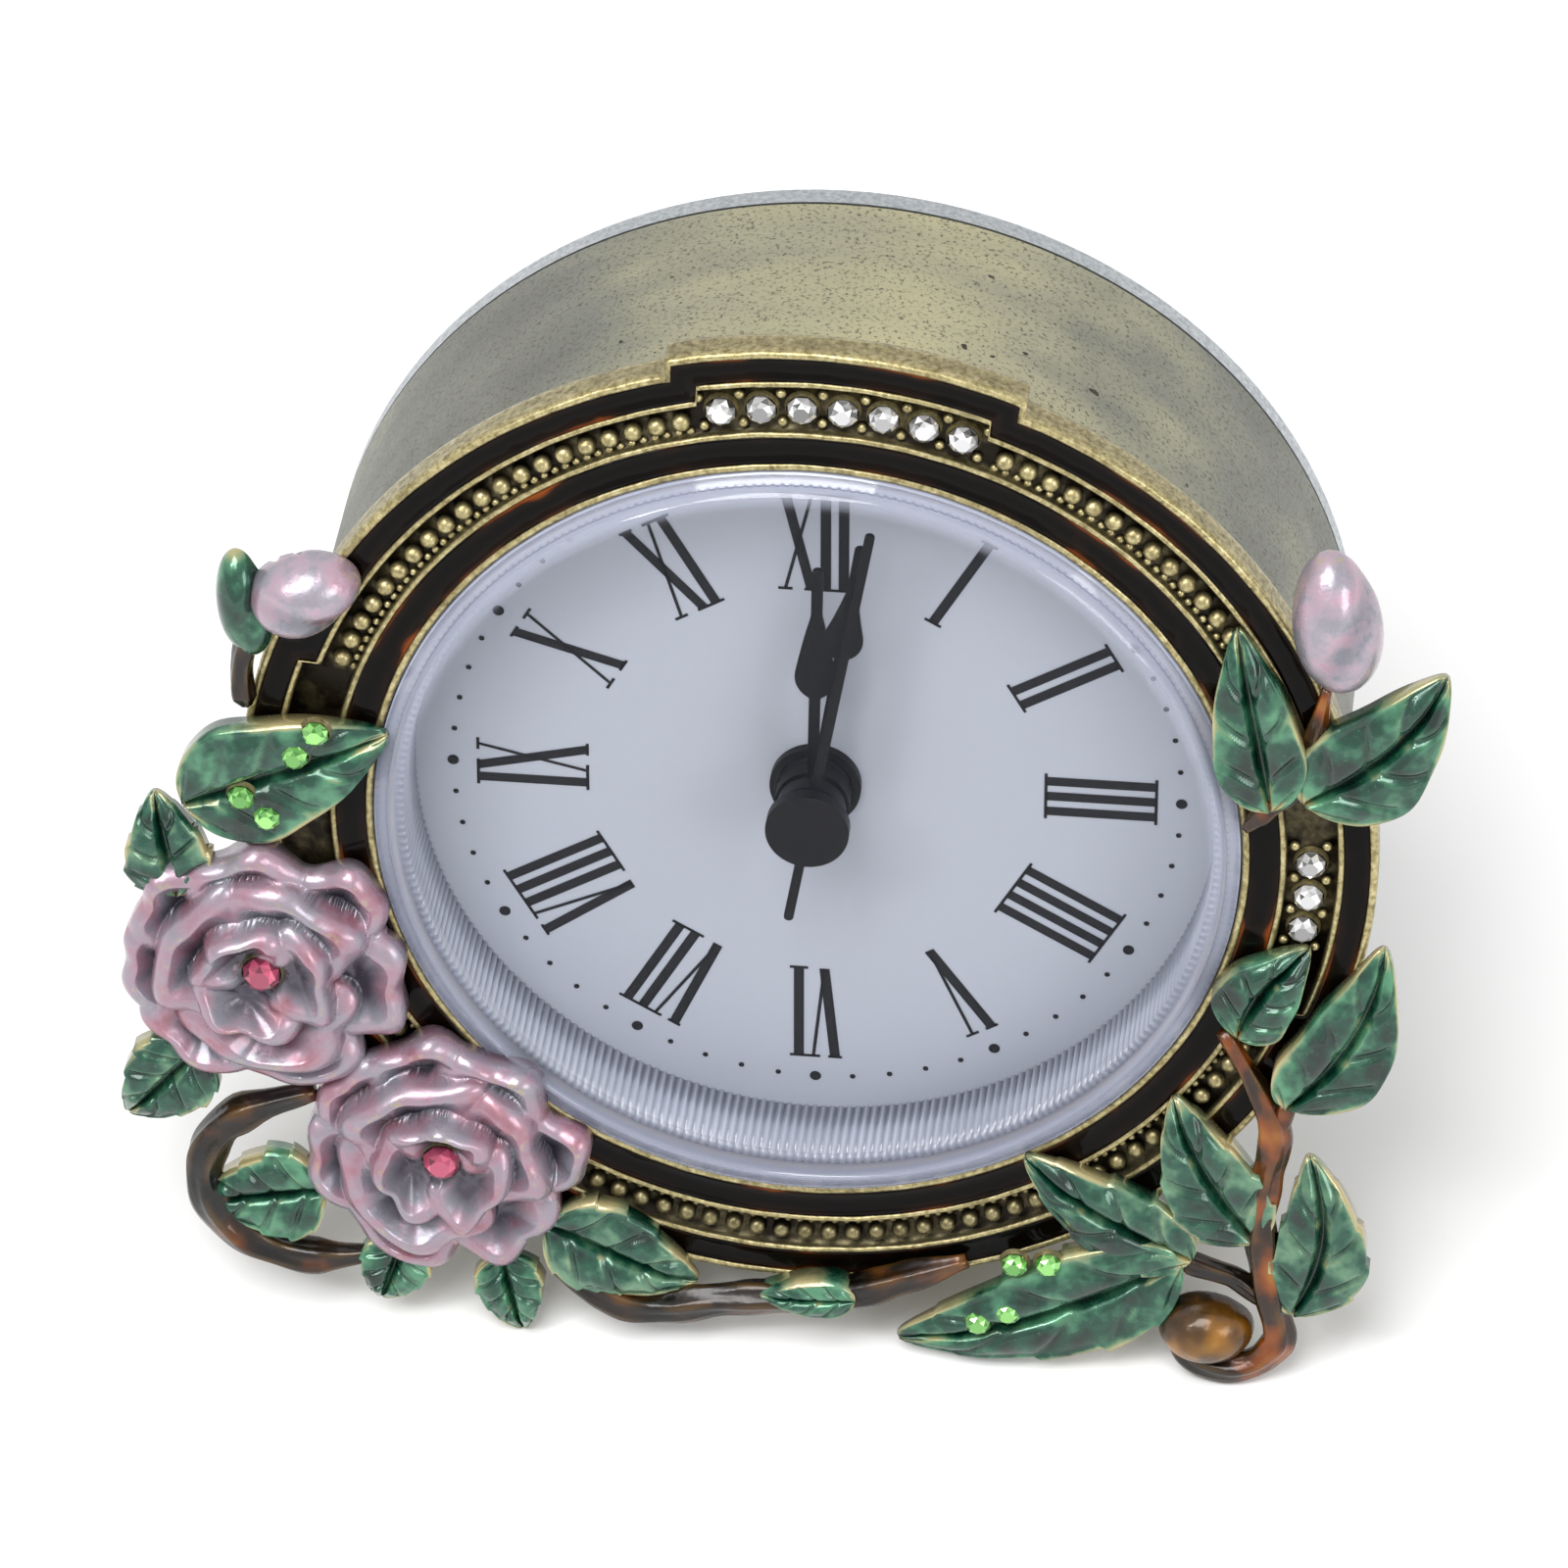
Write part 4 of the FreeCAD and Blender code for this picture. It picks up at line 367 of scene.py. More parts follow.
@dataclass(frozen=True)
class FrameMetal:
    """Bare metal of a CAD piece: name, colour, roughness and the grain left by how it was made."""

    name: str
    colour: str
    dark: str
    roughness: float
    grain_mm: float = 0.4

    def make(self) -> bpy.types.Material:
        """Build the metal.

        Returns:
            The material.
        """
        it = Finish(self.name)
        grain = it.noise(self.grain_mm, 4.0, 0.6)
        it.surface(Base_Color=it.ramp(grain, (0.3, self.dark), (0.65, self.colour)), Metallic=1.0)
        it.vary_roughness(grain, self.roughness + 0.07, self.roughness - 0.07)
        it.bump(grain, 0.02, 0.3)
        return it.material


@dataclass(frozen=True)
class Moulded:
    """Injection-moulded plastic with the fine spark-eroded texture of its tool."""

    name: str
    colour: str
    roughness: float
    gloss: float = 0.5
    texture_mm: float = 0.25

    def make(self) -> bpy.types.Material:
        """Build the plastic.

        Returns:
            The material.
        """
        it = Finish(self.name)
        texture = it.noise(self.texture_mm, 3.0)
        it.surface(Base_Color=linear(self.colour), IOR=PLASTIC_IOR, Specular_IOR_Level=self.gloss)
        it.vary_roughness(texture, self.roughness + 0.06, self.roughness - 0.06)
        it.bump(texture, 0.02, 0.35)
        return it.material


@dataclass(frozen=True)
class PooledEnamel:
    """Black enamel poured into a sunk ring: wet gloss, amber and see-through where it thins at its edges."""

    pool_mm: float = 6.0
    ripple_mm: float = 3.0

    def make(self) -> bpy.types.Material:
        """Build the ring enamel, which reads how near a point is to the ring's edge.

        Returns:
            The material.
        """
        it = Finish("pooled_black_enamel")
        pool = it.noise(self.pool_mm, 2.0)
        thin = it.math("MULTIPLY", it.attribute("rim"), it.spread(pool, 0.42, 0.66))
        thinner = it.math("ADD", thin, it.spread(pool, 0.66, 0.80, 0.0, 0.7))
        it.surface(Base_Color=it.ramp(thinner, (0.0, "#060403"), (0.45, "#1A0C04"), (1.0, "#7A3A0E")))
        it.surface(Roughness=0.10, IOR=GLASS_ENAMEL_IOR, Specular_IOR_Level=0.10)
        it.bump(it.noise(self.ripple_mm, 1.0), 0.25, 0.6)
        return it.material


@dataclass(frozen=True)
class PetalEnamel:
    """Pearl pink enamel wiped thin: silver-grey metal shows in the hollows, which are also darkened with
    painted shade, and dull gold shows on the lips.
    """

    name: str
    deep: str
    middle: str
    pale: str
    wipe_mm: float = 3.4
    brush_mm: float = 0.7

    def make(self) -> bpy.types.Material:
        """Build the petals' material, which reads how hollow and how near its lip a point is.

        Returns:
            The material.
        """
        it = Finish(self.name)
        wipe = it.noise(self.wipe_mm, 3.0, 0.6)
        brush = it.noise(self.brush_mm, 3.0, 0.6)
        edge, deep = it.attribute("rim"), it.attribute("deep")
        pink = it.ramp(wipe, (0.30, self.deep), (0.50, self.middle), (0.72, self.pale))
        wiped = it.math("MULTIPLY", it.math("ADD", deep, 0.55), it.spread(wipe, 0.36, 0.60))
        silver = it.blend(it.spread(wiped, 0.0, 0.66), pink, "#85858F")
        # Painted shade: the deeper a hollow, the nearer it is taken to dark grey-purple.
        hollow = it.blend(it.spread(deep, 0.08, 0.62), silver, "#423D49")
        bare = it.math("MULTIPLY", edge, it.spread(brush, 0.46, 0.60))
        it.surface(Base_Color=it.blend(it.spread(bare, 0.35, 0.9), hollow, "#A99C7C"), Metallic=0.45)
        it.surface(IOR=METAL_BASED_ENAMEL_IOR, Coat_Weight=0.4)
        it.vary_roughness(brush, 0.38, 0.24)
        it.bump(it.math("ADD", wipe, it.math("MULTIPLY", brush, 0.2)), 0.25, 0.4)
        return it.material


@dataclass(frozen=True)
class LeafEnamel:
    """Flaked green enamel over gold: deep in the hollows, with a painted pale highlight along its edge, where
    it is also worn to gold.
    """

    name: str
    deep: str
    middle: str
    pale: str
    flake_mm: float = 0.35
    cloud_mm: float = 3.4

    def make(self) -> bpy.types.Material:
        """Build the leaf enamel, which reads each point's nearness to an edge and to a groove.

        Returns:
            The material.
        """
        it = Finish(self.name)
        cloud = it.noise(self.cloud_mm, 3.0, 0.55)
        flake = it.noise(self.flake_mm, 2.0, 0.7)
        # Painted highlight: the rim number lifts the tone towards the pale green along edges and beside the
        # veins.
        tone = it.math("ADD", cloud, it.math("MULTIPLY", it.attribute("rim"), 0.22))
        green = it.ramp(tone, (0.36, self.deep), (0.51, self.middle), (0.68, self.pale))
        sparkle = it.blend(it.spread(flake, 0.62, 0.74, 0.0, 0.2), green, "#5F9C78")
        sunk = it.blend(it.attribute("deep"), sparkle, "#08281E")
        worn = it.math("MULTIPLY", it.attribute("rim"), it.spread(cloud, 0.30, 0.62, 0.60, 1.15))
        it.surface(Base_Color=it.blend(it.spread(worn, 0.42, 0.95), sunk, "#AEA274"), Metallic=0.4)
        it.surface(IOR=METAL_BASED_ENAMEL_IOR, Coat_Weight=0.5)
        it.vary_roughness(flake, 0.28, 0.18)
        it.bump(it.math("ADD", cloud, it.math("MULTIPLY", flake, 0.12)), 0.2, 0.6)
        return it.material


@dataclass(frozen=True)
class AmberEnamel:
    """See-through brown enamel over a cast gold stem: amber where it is thin, near black where it pools."""

    name: str
    dark: str
    middle: str
    bright: str
    lit: str
    pool_mm: float = 5.0

    def make(self) -> bpy.types.Material:
        """Build the vines' material.

        Returns:
            The material.
        """
        it = Finish(self.name)
        pool = it.noise(self.pool_mm, 2.5, 0.5)
        body = it.ramp(pool, (0.40, self.dark), (0.51, self.middle), (0.62, self.bright), (0.76, self.lit))
        it.surface(Base_Color=it.blend(it.attribute("rim"), body, "#7A5A24"), Metallic=0.2)
        it.surface(Roughness=0.24, IOR=GLASS_ENAMEL_IOR, Coat_Weight=0.15)
        it.bump(it.noise(self.pool_mm / 3, 2.0), 0.2, 0.6)
        return it.material


@dataclass(frozen=True)
class CutStone:
    """Foil-backed cut glass: its facets each carry a painted reflection, light or dark."""

    name: str
    bright: str
    dark: str

    def make(self) -> bpy.types.Material:
        """Build the stone, whose facets carry their own painted reflection, light or dark.

        Returns:
            The material.
        """
        it = Finish(self.name)
        it.surface(Base_Color=it.blend(it.attribute("painted_facet_reflection"), self.dark, self.bright))
        it.surface(Roughness=0.04, Metallic=0.55, Coat_Weight=1.0, Coat_Roughness=0.01)
        return it.material


@dataclass(frozen=True)
class ClearAcrylic:
    """Polished clear acrylic of the lens: clear face on, with a painted pale lavender reflection where seen
    along its surface.
    """

    name: str
    tint: str
    least: float
    most: float
    polish: float = 0.04

    def make(self) -> bpy.types.Material:
        """Build the lens material, which reads how milky a point is.

        Returns:
            The material.
        """
        it = Finish(self.name)
        # Painted reflection: the grazing parts of the window take the lavender tint as a veil.
        along = it.add("ShaderNodeLayerWeight", {"Blend": 0.5}).outputs["Facing"]
        clear = it.spread(along, 0.40, 0.95, self.least, self.most)
        it.surface(Base_Color=linear(self.tint), Roughness=self.polish, IOR=ACRYLIC_IOR)
        it.surface(Specular_IOR_Level=1.0)
        it.surface(Alpha=it.math("MAXIMUM", clear, it.attribute("milk")))
        return it.material


@dataclass(frozen=True)
class FlutedAcrylic:
    """The lens's wall, whose fine flutes scatter light: milky, painted lighter on each ridge and with a thin
    painted dark line of shade in each valley.
    """

    painted_ridge_light: str = "#C3C8D4"
    valley: str = "#8F94A2"
    band: str = "#9CA1AE"
    band_mm: float = 9.0

    def make(self) -> bpy.types.Material:
        """Build the wall's material, which reads how deep in a flute a point is.

        Returns:
            The material.
        """
        it = Finish("fluted_clear_acrylic")
        band = it.noise(self.band_mm, 2.0)
        # Painted light and shade: lighter on the flutes' ridges, darker in their valleys, for the light the
        # flutes bend.
        tone = it.blend(it.attribute("flute"), self.painted_ridge_light, self.valley)
        it.surface(Base_Color=it.blend(it.spread(band, 0.45, 0.70, 0.0, 0.5), tone, self.band))
        it.surface(Roughness=0.16, IOR=ACRYLIC_IOR, Coat_Weight=0.5)
        return it.material


class Shape:
    """A mesh being shaped in the clock's own millimetres."""

    def __init__(self) -> None:
        """Start empty."""
        self.bm: BMesh = bmesh.new()

    @property
    def facets(self) -> bmesh.types.BMLayerCollection:
        """The numbers that each face carries."""
        return self.bm.faces.layers.float

    def layer(self, name: str) -> bmesh.types.BMLayerItem:
        """Give the named number that each point carries."""
        layers = self.bm.verts.layers.float
        return layers.get(name) or layers.new(name)

    def spin(self, outline: Sequence[Place], steps: int) -> None:
        """Turn a closed outline of (radius, depth) corners round the clock's axis.

        Args:
            outline: the corners, in order.
            steps: how many steps make the full turn.
        """
        first = [self.bm.verts.new((radius, depth, 0)) for radius, depth in outline]
        edges = [self.bm.edges.new((a, b)) for a, b in zip(first, first[1:] + first[:1])]
        bmesh.ops.spin(self.bm, geom=first + edges, cent=(0, 0, 0), axis=(0, 1, 0), angle=math.tau,
                       steps=steps, use_merge=True)
        self.weld()
        self.face_out()

    def weld(self) -> None:
        """Merge the points that meet."""
        bmesh.ops.remove_doubles(self.bm, verts=self.bm.verts, dist=WELD_REACH)

    def face_out(self) -> None:
        """Turn every face outward."""
        bmesh.ops.recalc_face_normals(self.bm, faces=self.bm.faces)

    def back_down(self, verts: Sequence[BMVert]) -> None:
        """Close a front sheet with walls and a flat back.

        Args:
            verts: the sheet's points.
        """
        faces = list(dict.fromkeys(face for vert in verts for face in vert.link_faces))
        for item in bmesh.ops.extrude_face_region(self.bm, geom=faces)["geom"]:
            if isinstance(item, BMVert):
                item.co.y = BACK_PLANE

    def mark_back(self) -> None:
        """Give the flat faces on the back plane the second material."""
        for face in self.bm.faces:
            if all(vert.co.y > BACK_PLANE - BACK_SLACK for vert in face.verts):
                face.material_index = 1

    def grid(self, along: int, across: int,
             place: Callable[[BMVert, float, float], None]) -> list[BMVert]:
        """A sheet bent to a formula.

        Args:
            along: steps in the first direction.
            across: steps in the second.
            place: moves a point and sets its numbers, given its shares along and across from 0 to 1.

        Returns:
            The sheet's points.
        """
        made = bmesh.ops.create_grid(self.bm, x_segments=along, y_segments=across, size=0.5)["verts"]
        for vert in made:
            place(vert, vert.co.x + 0.5, vert.co.y + 0.5)
        return made

    def finish(self, name: str, stand: Matrix, smooth: bool = True) -> bpy.types.Object:
        """Turn the shape into an object of the frame.

        Args:
            name: the piece's name.
            stand: the matrix from the clock's millimetres to the frame.
            smooth: whether its faces shade smoothly.

        Returns:
            The object, at the origin, with its place in its mesh.
        """
        mesh = bpy.data.meshes.new(name)
        for face in self.bm.faces:
            face.smooth = smooth
        self.bm.to_mesh(mesh)
        self.bm.free()
        mesh.transform(stand)
        piece = bpy.data.objects.new(name, mesh)
        bpy.context.scene.collection.objects.link(piece)
        return piece


@dataclass
class Bench:
    """Where pieces are handed in: the frame's matrix and the finishes by name."""

    stand: Matrix
    finishes: dict[str, bpy.types.Material] = field(default_factory=dict)

    def dress(self, shape: Shape, name: str, finish: str, slot: str, body: str = "case",
              stands_for: Sequence[str] = (), smooth: bool = True, backing: str = "") -> bpy.types.Object:
        """Finish a shape, give it its material and hang it on its body.

        Args:
            shape: the shape in millimetres.
            name: the piece's name.
            finish: the material's name on this bench.
            slot: the record's material slot; not used.
            body: the body it rides on.
            stands_for: frame nodes that it replaces.
            smooth: whether its faces shade smoothly.
            backing: the material of its flat back, where that is another one.

        Returns:
            The finished piece.
        """
        if backing:
            shape.mark_back()
        piece = shape.finish(name, self.stand, smooth)
        for material in filter(None, (finish, backing)):
            piece.data.materials.append(self.finishes[material])
        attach(piece, body)
        for node in stands_for:
            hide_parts(node)
        LOG.info("%s: %d faces", name, len(piece.data.polygons))
        return piece


def clock_point(radius: float, angle: float, depth: float = 0.0) -> Vector:
    """The point at a radius, an angle clockwise from twelve in degrees, and a depth."""
    turn = math.radians(angle)
    return Vector((radius * math.sin(turn), depth, radius * math.cos(turn)))


def face_point(across: float, up: float, depth: float = 0.0) -> Vector:
    """A point of the face from shares of the plate's radius."""
    return Vector((across * PLATE_RADIUS, depth, up * PLATE_RADIUS))


def wave(value: float, *parts: Spot) -> float:
    """Sum sines of (turns, offset, height): the small unevenness of hand-made models."""
    return sum(height * math.sin(math.tau * turns * value + offset) for turns, offset, height in parts)


def in_panel(angle: float, half: float) -> bool:
    """Whether a clock angle lies within a half width of the middle of a panel."""
    return any(abs((angle - PANEL_TURN - middle + 180) % 360 - 180) < half for middle in PANEL_MIDDLES)


@dataclass
class Foliage:
    """The enamelled leaves: pillows each side of a sunken midrib, with side veins and a raised edge."""

    bench: Bench
    crown: float = 2.3
    crown_share: float = 0.42
    edge_share: float = 0.42
    teeth: float = 4.5
    veins: int = 4
    along_steps: int = 64
    across_steps: int = 40
    toothed: tuple[str, ...] = ("loop_leaf", "bottom_left_leaf", "left_outer_leaves", "right_jewelled_leaf",
                                "foot_leaves", "right_lower_leaves")
    moss: tuple[str, ...] = ("right_lower_leaves", "left_outer_leaves", "bottom_left_leaf")
    lifts: dict[str, float] = field(default_factory=lambda: {"bottom_small_leaf": 1.4})
    leaves: dict[str, tuple[Leaf, ...]] = field(default_factory=lambda: {
        "right_upper_leaves": ((0.835, 0.150, 0.765, 0.518, 0.160, 0.0),
                               (0.896, 0.169, 1.138, 0.443, 0.205, 0.029)),
        "right_middle_leaves": ((0.792, -0.354, 0.913, -0.162, 0.150, -0.019),
                                (0.886, -0.508, 1.051, -0.153, 0.180, 0.036)),
        "right_lower_leaves": ((0.838, -0.818, 0.678, -0.516, 0.180, -0.019),
                               (0.913, -0.983, 0.932, -0.630, 0.175, 0.039),
                               (0.722, -0.872, 0.409, -0.673, 0.165, -0.012)),
        "right_jewelled_leaf": ((0.702, -0.877, 0.177, -1.109, 0.218, -0.029),),
        "left_jewelled_leaf": ((-1.128, 0.019, -0.755, 0.184, 0.240, 0.0),),
        "left_outer_leaves": ((-1.148, -0.184, -1.184, 0.027, 0.155, 0.0),
                              (-1.123, -0.535, -1.262, -0.700, 0.169, 0.0)),
        "loop_leaf": ((-0.896, -0.843, -1.126, -0.881, 0.194, 0.0),),
        "bottom_left_leaf": ((-0.479, -0.891, -0.199, -1.010, 0.194, 0.0),),
        "bottom_small_leaf": ((0.100, -1.004, -0.080, -1.012, 0.075, 0.0),),
        "foot_leaves": ((-0.748, -0.949, -0.797, -1.097, 0.131, 0.0),
                        (-0.564, -0.973, -0.530, -FOOT_REACH / PLATE_RADIUS, 0.126, 0.0)),
    })

    def half_width(self, along: float) -> float:
        """The half width of a leaf at a share of its length, as a share of its largest."""
        return 0.05 + 0.97 * math.sin(math.pi * min(1.0, along) ** 0.72) ** 0.75

    def vein(self, along: float, side: float) -> float:
        """How deep in a side vein a point is, from 0 to 1."""
        off_line = (self.veins * (along - 0.28 * abs(side)) % 1.0 - 0.5) / 0.10
        return math.exp(-(off_line ** 2)) * math.sin(math.pi * min(1.0, abs(side) * 1.05)) ** 0.6

    def add_leaf(self, shape: Shape, leaf: Leaf, edge: Edge, lift: float) -> None:
        """Shape one leaf into the mesh.

        Args:
            shape: the mesh that takes it.
            leaf: stalk, tip, width and bow in shares of the plate's radius.
            edge: how its edge is cut.
            lift: how far in front of the back plane it lies.
        """
        stalk = face_point(leaf[0], leaf[1])
        tip = face_point(leaf[2], leaf[3])
        width = leaf[4] * PLATE_RADIUS
        bow = leaf[5] * PLATE_RADIUS
        way = tip - stalk
        right = Vector((way.z, 0, -way.x)).normalized()
        relief = min(self.crown, width * self.crown_share)
        seed = leaf[0] * 7 + leaf[1] * 11
        rim, deep = shape.layer("rim"), shape.layer("deep")

        def place(vert: BMVert, along: float, across: float) -> None:
            """Put a point of the front sheet in its place.

            Args:
                vert: the point.
                along: its share of the way from stalk to tip.
                across: its share of the way from edge to edge.
            """
            side = across * 2 - 1
            reach = abs(side)
            bite = (self.teeth * along + 0.13 * math.sin(seed + side)) % 1.0
            ripple = math.sin(math.tau * (2.5 * along + seed + side))
            tooth = edge.value * (bite ** 1.5 - 0.45 if edge is Edge.TOOTHED else ripple)
            half = width / 2 * self.half_width(along) * (1 + tooth * reach ** 3)
            middle = stalk + way * along + right * (bow * 4 * along * (1 - along))
            sweep = way.normalized() * (-0.07 * reach ** 1.5 * way.length * math.sin(math.pi * along))
            swell = math.sin(math.pi * min(1.0, 0.08 + along * 0.92)) ** 0.45
            pillow = math.sin(math.pi * min(1.0, reach ** 0.75 * 0.90)) ** 0.8
            tilt = 1 + 0.16 * math.sin(seed * 3 + 2.2 * side + 4 * along)
            groove = math.exp(-((side / 0.085) ** 2))
            dome = swell * (0.25 + 0.75 * pillow) * tilt
            height = relief * (self.edge_share + (1 - self.edge_share) * dome)
            height -= relief * (0.36 * groove + 0.20 * self.vein(along, side)) * swell
            height += relief * 0.10 * max(0.0, reach - 0.86) / 0.14
            fall = 1 - 0.40 * max(0.0, (along - 0.80) / 0.20)
            front = Vector((0, -min(height, relief * 1.08) * fall - lift, 0))
            vert.co = middle + right * (side * half) + sweep + front
            # The rim number paints a pale highlight and bares worn gold along the edges and beside the veins.
            patchy = 0.75 + 0.35 * math.sin(seed * 5 + 9 * along + 4 * side)
            lines = math.exp(-(((reach - 0.13) / 0.05) ** 2)) + self.vein(along + 0.035, side)
            border = max(reach ** 8, along ** 14, (1 - along) ** 16)
            vert[rim] = min(1.0, border * patchy + 0.5 * lines * patchy)
            vert[deep] = min(0.7, 0.7 * math.exp(-((side / 0.06) ** 2)) + 0.5 * self.vein(along, side))

        shape.back_down(shape.grid(self.along_steps, self.across_steps, place))

    def build(self) -> None:
        """Build every node of leaves."""
        for name, leaves in self.leaves.items():
            shape = Shape()
            for leaf in leaves:
                edge = Edge.TOOTHED if name in self.toothed else Edge.RIPPLED
                self.add_leaf(shape, leaf, edge, self.lifts.get(name, 0.0))
            shape.face_out()
            finish = "moss_enamel" if name in self.moss else "emerald_enamel"
            self.bench.dress(shape, name + "_enamelled", finish, finish, stands_for=[name],
                             backing="rubbed_gold")


@dataclass(frozen=True)
class Petal:
    """One petal of a cast rose: where it lies and how its lip rises, in degrees and shares of the rose."""

    angle: float
    out: float
    length: float
    width: float
    base: float
    rise: float


@dataclass
class Roses:
    """Cast roses: broad petals that overlap in whorls, each a dished scale with a rolled lip."""

    bench: Bench
    height: float = 6.0
    rings: int = 84
    rays: int = 260
    lip: float = 0.66
    pit_share: float = 0.16
    edge_range: Place = (0.55, 1.25)
    halvings: int = 16
    roses: tuple[tuple[str, float, float, float, float], ...] = (
        ("upper_rose", -0.993, -0.334, 0.276, 0.0),
        ("lower_rose", -0.671, -0.738, 0.266, 42.0),
    )
    petals: tuple[Petal, ...] = (
        Petal(352, 0.62, 0.36, 0.42, 0.12, 0.34), Petal(46, 0.70, 0.36, 0.36, 0.03, 0.36),
        Petal(100, 0.62, 0.40, 0.44, 0.12, 0.30), Petal(160, 0.66, 0.38, 0.44, 0.05, 0.36),
        Petal(218, 0.66, 0.36, 0.40, 0.13, 0.32), Petal(262, 0.64, 0.38, 0.38, 0.04, 0.34),
        Petal(308, 0.66, 0.36, 0.40, 0.09, 0.34),
        Petal(30, 0.38, 0.40, 0.48, 0.30, 0.34), Petal(172, 0.40, 0.42, 0.56, 0.24, 0.40),
        Petal(286, 0.38, 0.36, 0.52, 0.32, 0.34),
        Petal(80, 0.24, 0.28, 0.38, 0.50, 0.30), Petal(214, 0.20, 0.26, 0.40, 0.46, 0.40),
        Petal(328, 0.22, 0.24, 0.36, 0.52, 0.38),
    )

    def petal_height(self, petal: Petal, across: float, up: float, turn: float) -> Spot:
        """Height of one petal at a place.

        Args:
            petal: the petal.
            across: right of the rose's middle, in shares of its radius.
            up: above its middle.
            turn: the rose's turn in degrees.

        Returns:
            Height share, how hollow it is there and how near its lip; below zero off the petal.
        """
        angle = math.radians(petal.angle + turn)
        out = across * math.sin(angle) + up * math.cos(angle)
        side = across * math.cos(angle) - up * math.sin(angle)
        forward = (out - petal.out) / petal.length
        sideways = side / petal.width
        way = math.atan2(sideways, forward)
        seed = petal.angle
        wavy = (1 + 0.08 * math.sin(3 * way + seed) + 0.07 * math.sin(5 * way + seed * 2)
                - 0.06 * math.cos(2 * way))
        reach = math.hypot(forward, sideways) / wavy
        if reach >= 1:
            return -1.0, 0.0, 0.0
        lean = 0.30 + 0.70 * (0.5 + 0.5 * forward / max(reach, 0.2))
        if reach < self.lip:
            lift = (reach / self.lip) ** 1.7
        else:
            lift = math.sqrt(1 - ((reach - self.lip) / (1 - self.lip)) ** 2)
        crease = (0.08 * math.sin(4 * way + seed) + 0.04 * math.sin(7 * way + seed * 3)) * reach
        hollow = max(0.0, 1 - reach / self.lip)
        lip = math.exp(-(((reach - self.lip - 0.06) / 0.10) ** 2)) * max(0.0, forward)
        return petal.base + petal.rise * lift * lean + crease * petal.rise, hollow, lip

    def surface(self, across: float, up: float, turn: float) -> Spot:
        """Find which petal shows at a place: the highest one.

        Args:
            across: right of the rose's middle, in shares of its radius.
            up: above its middle.
            turn: the rose's turn in degrees.

        Returns:
            The rose's height share there, how hollow it is and how near a lip.
        """
        found = (self.petal_height(petal, across, up, turn) for petal in self.petals)
        best = max(found, key=lambda petal: petal[0])
        # The pit at the rose's middle counts as nearly fully hollow, so the enamel paints shade into it.
        pit = math.exp(-((math.hypot(across, up) / self.pit_share) ** 4))
        return best[0] * (1 - 0.25 * pit), max(best[1], 0.9 * pit), best[2] * (1 - pit)

    def edge(self, angle: float, turn: float) -> float:
        """Find how far out the petals reach, by halving.

        Args:
            angle: the way out from the rose's middle, in radians.
            turn: the rose's turn in degrees.

        Returns:
            The reach as a share of the rose's radius.
        """
        low, high = self.edge_range
        for _ in range(self.halvings):
            middle = (low + high) / 2
            found = self.surface(middle * math.sin(angle), middle * math.cos(angle), turn)[0] >= 0
            low, high = (middle, high) if found else (low, middle)
        return low

    def build(self) -> None:
        """Build both roses."""
        for name, right, above, share, turn in self.roses:
            centre = face_point(right, above)
            radius = share * PLATE_RADIUS
            shape = Shape()
            rim, deep = shape.layer("rim"), shape.layer("deep")
            found = [self.edge(math.tau * ray / self.rays, turn) for ray in range(self.rays)]
            edges = [sum(found[(ray + step) % self.rays] for step in range(-2, 3)) / 5
                     for ray in range(self.rays)]

            def place(vert: BMVert, out: float, round_share: float) -> None:
                """Put a point of the front in its place.

                Args:
                    vert: the point.
                    out: its share of the way from the middle to the edge.
                    round_share: its share of the full turn.
                """
                ray = round(round_share * self.rays) % self.rays
                angle = math.tau * ray / self.rays
                reach = edges[ray] * 0.985 * out ** 0.85
                across, up = reach * math.sin(angle), reach * math.cos(angle)
                height, hollow, lip = self.surface(across, up, turn)
                vert.co = centre + Vector((across * radius, -max(0.05, height) * self.height, up * radius))
                vert[deep], vert[rim] = hollow, lip

            shape.grid(self.rings, self.rays, place)
            shape.weld()
            shape.back_down(shape.bm.verts)
            shape.face_out()
            self.bench.dress(shape, name + "_petals", "petal_enamel", "pearl_pink_enamel", stands_for=[name],
                             backing="rubbed_gold")


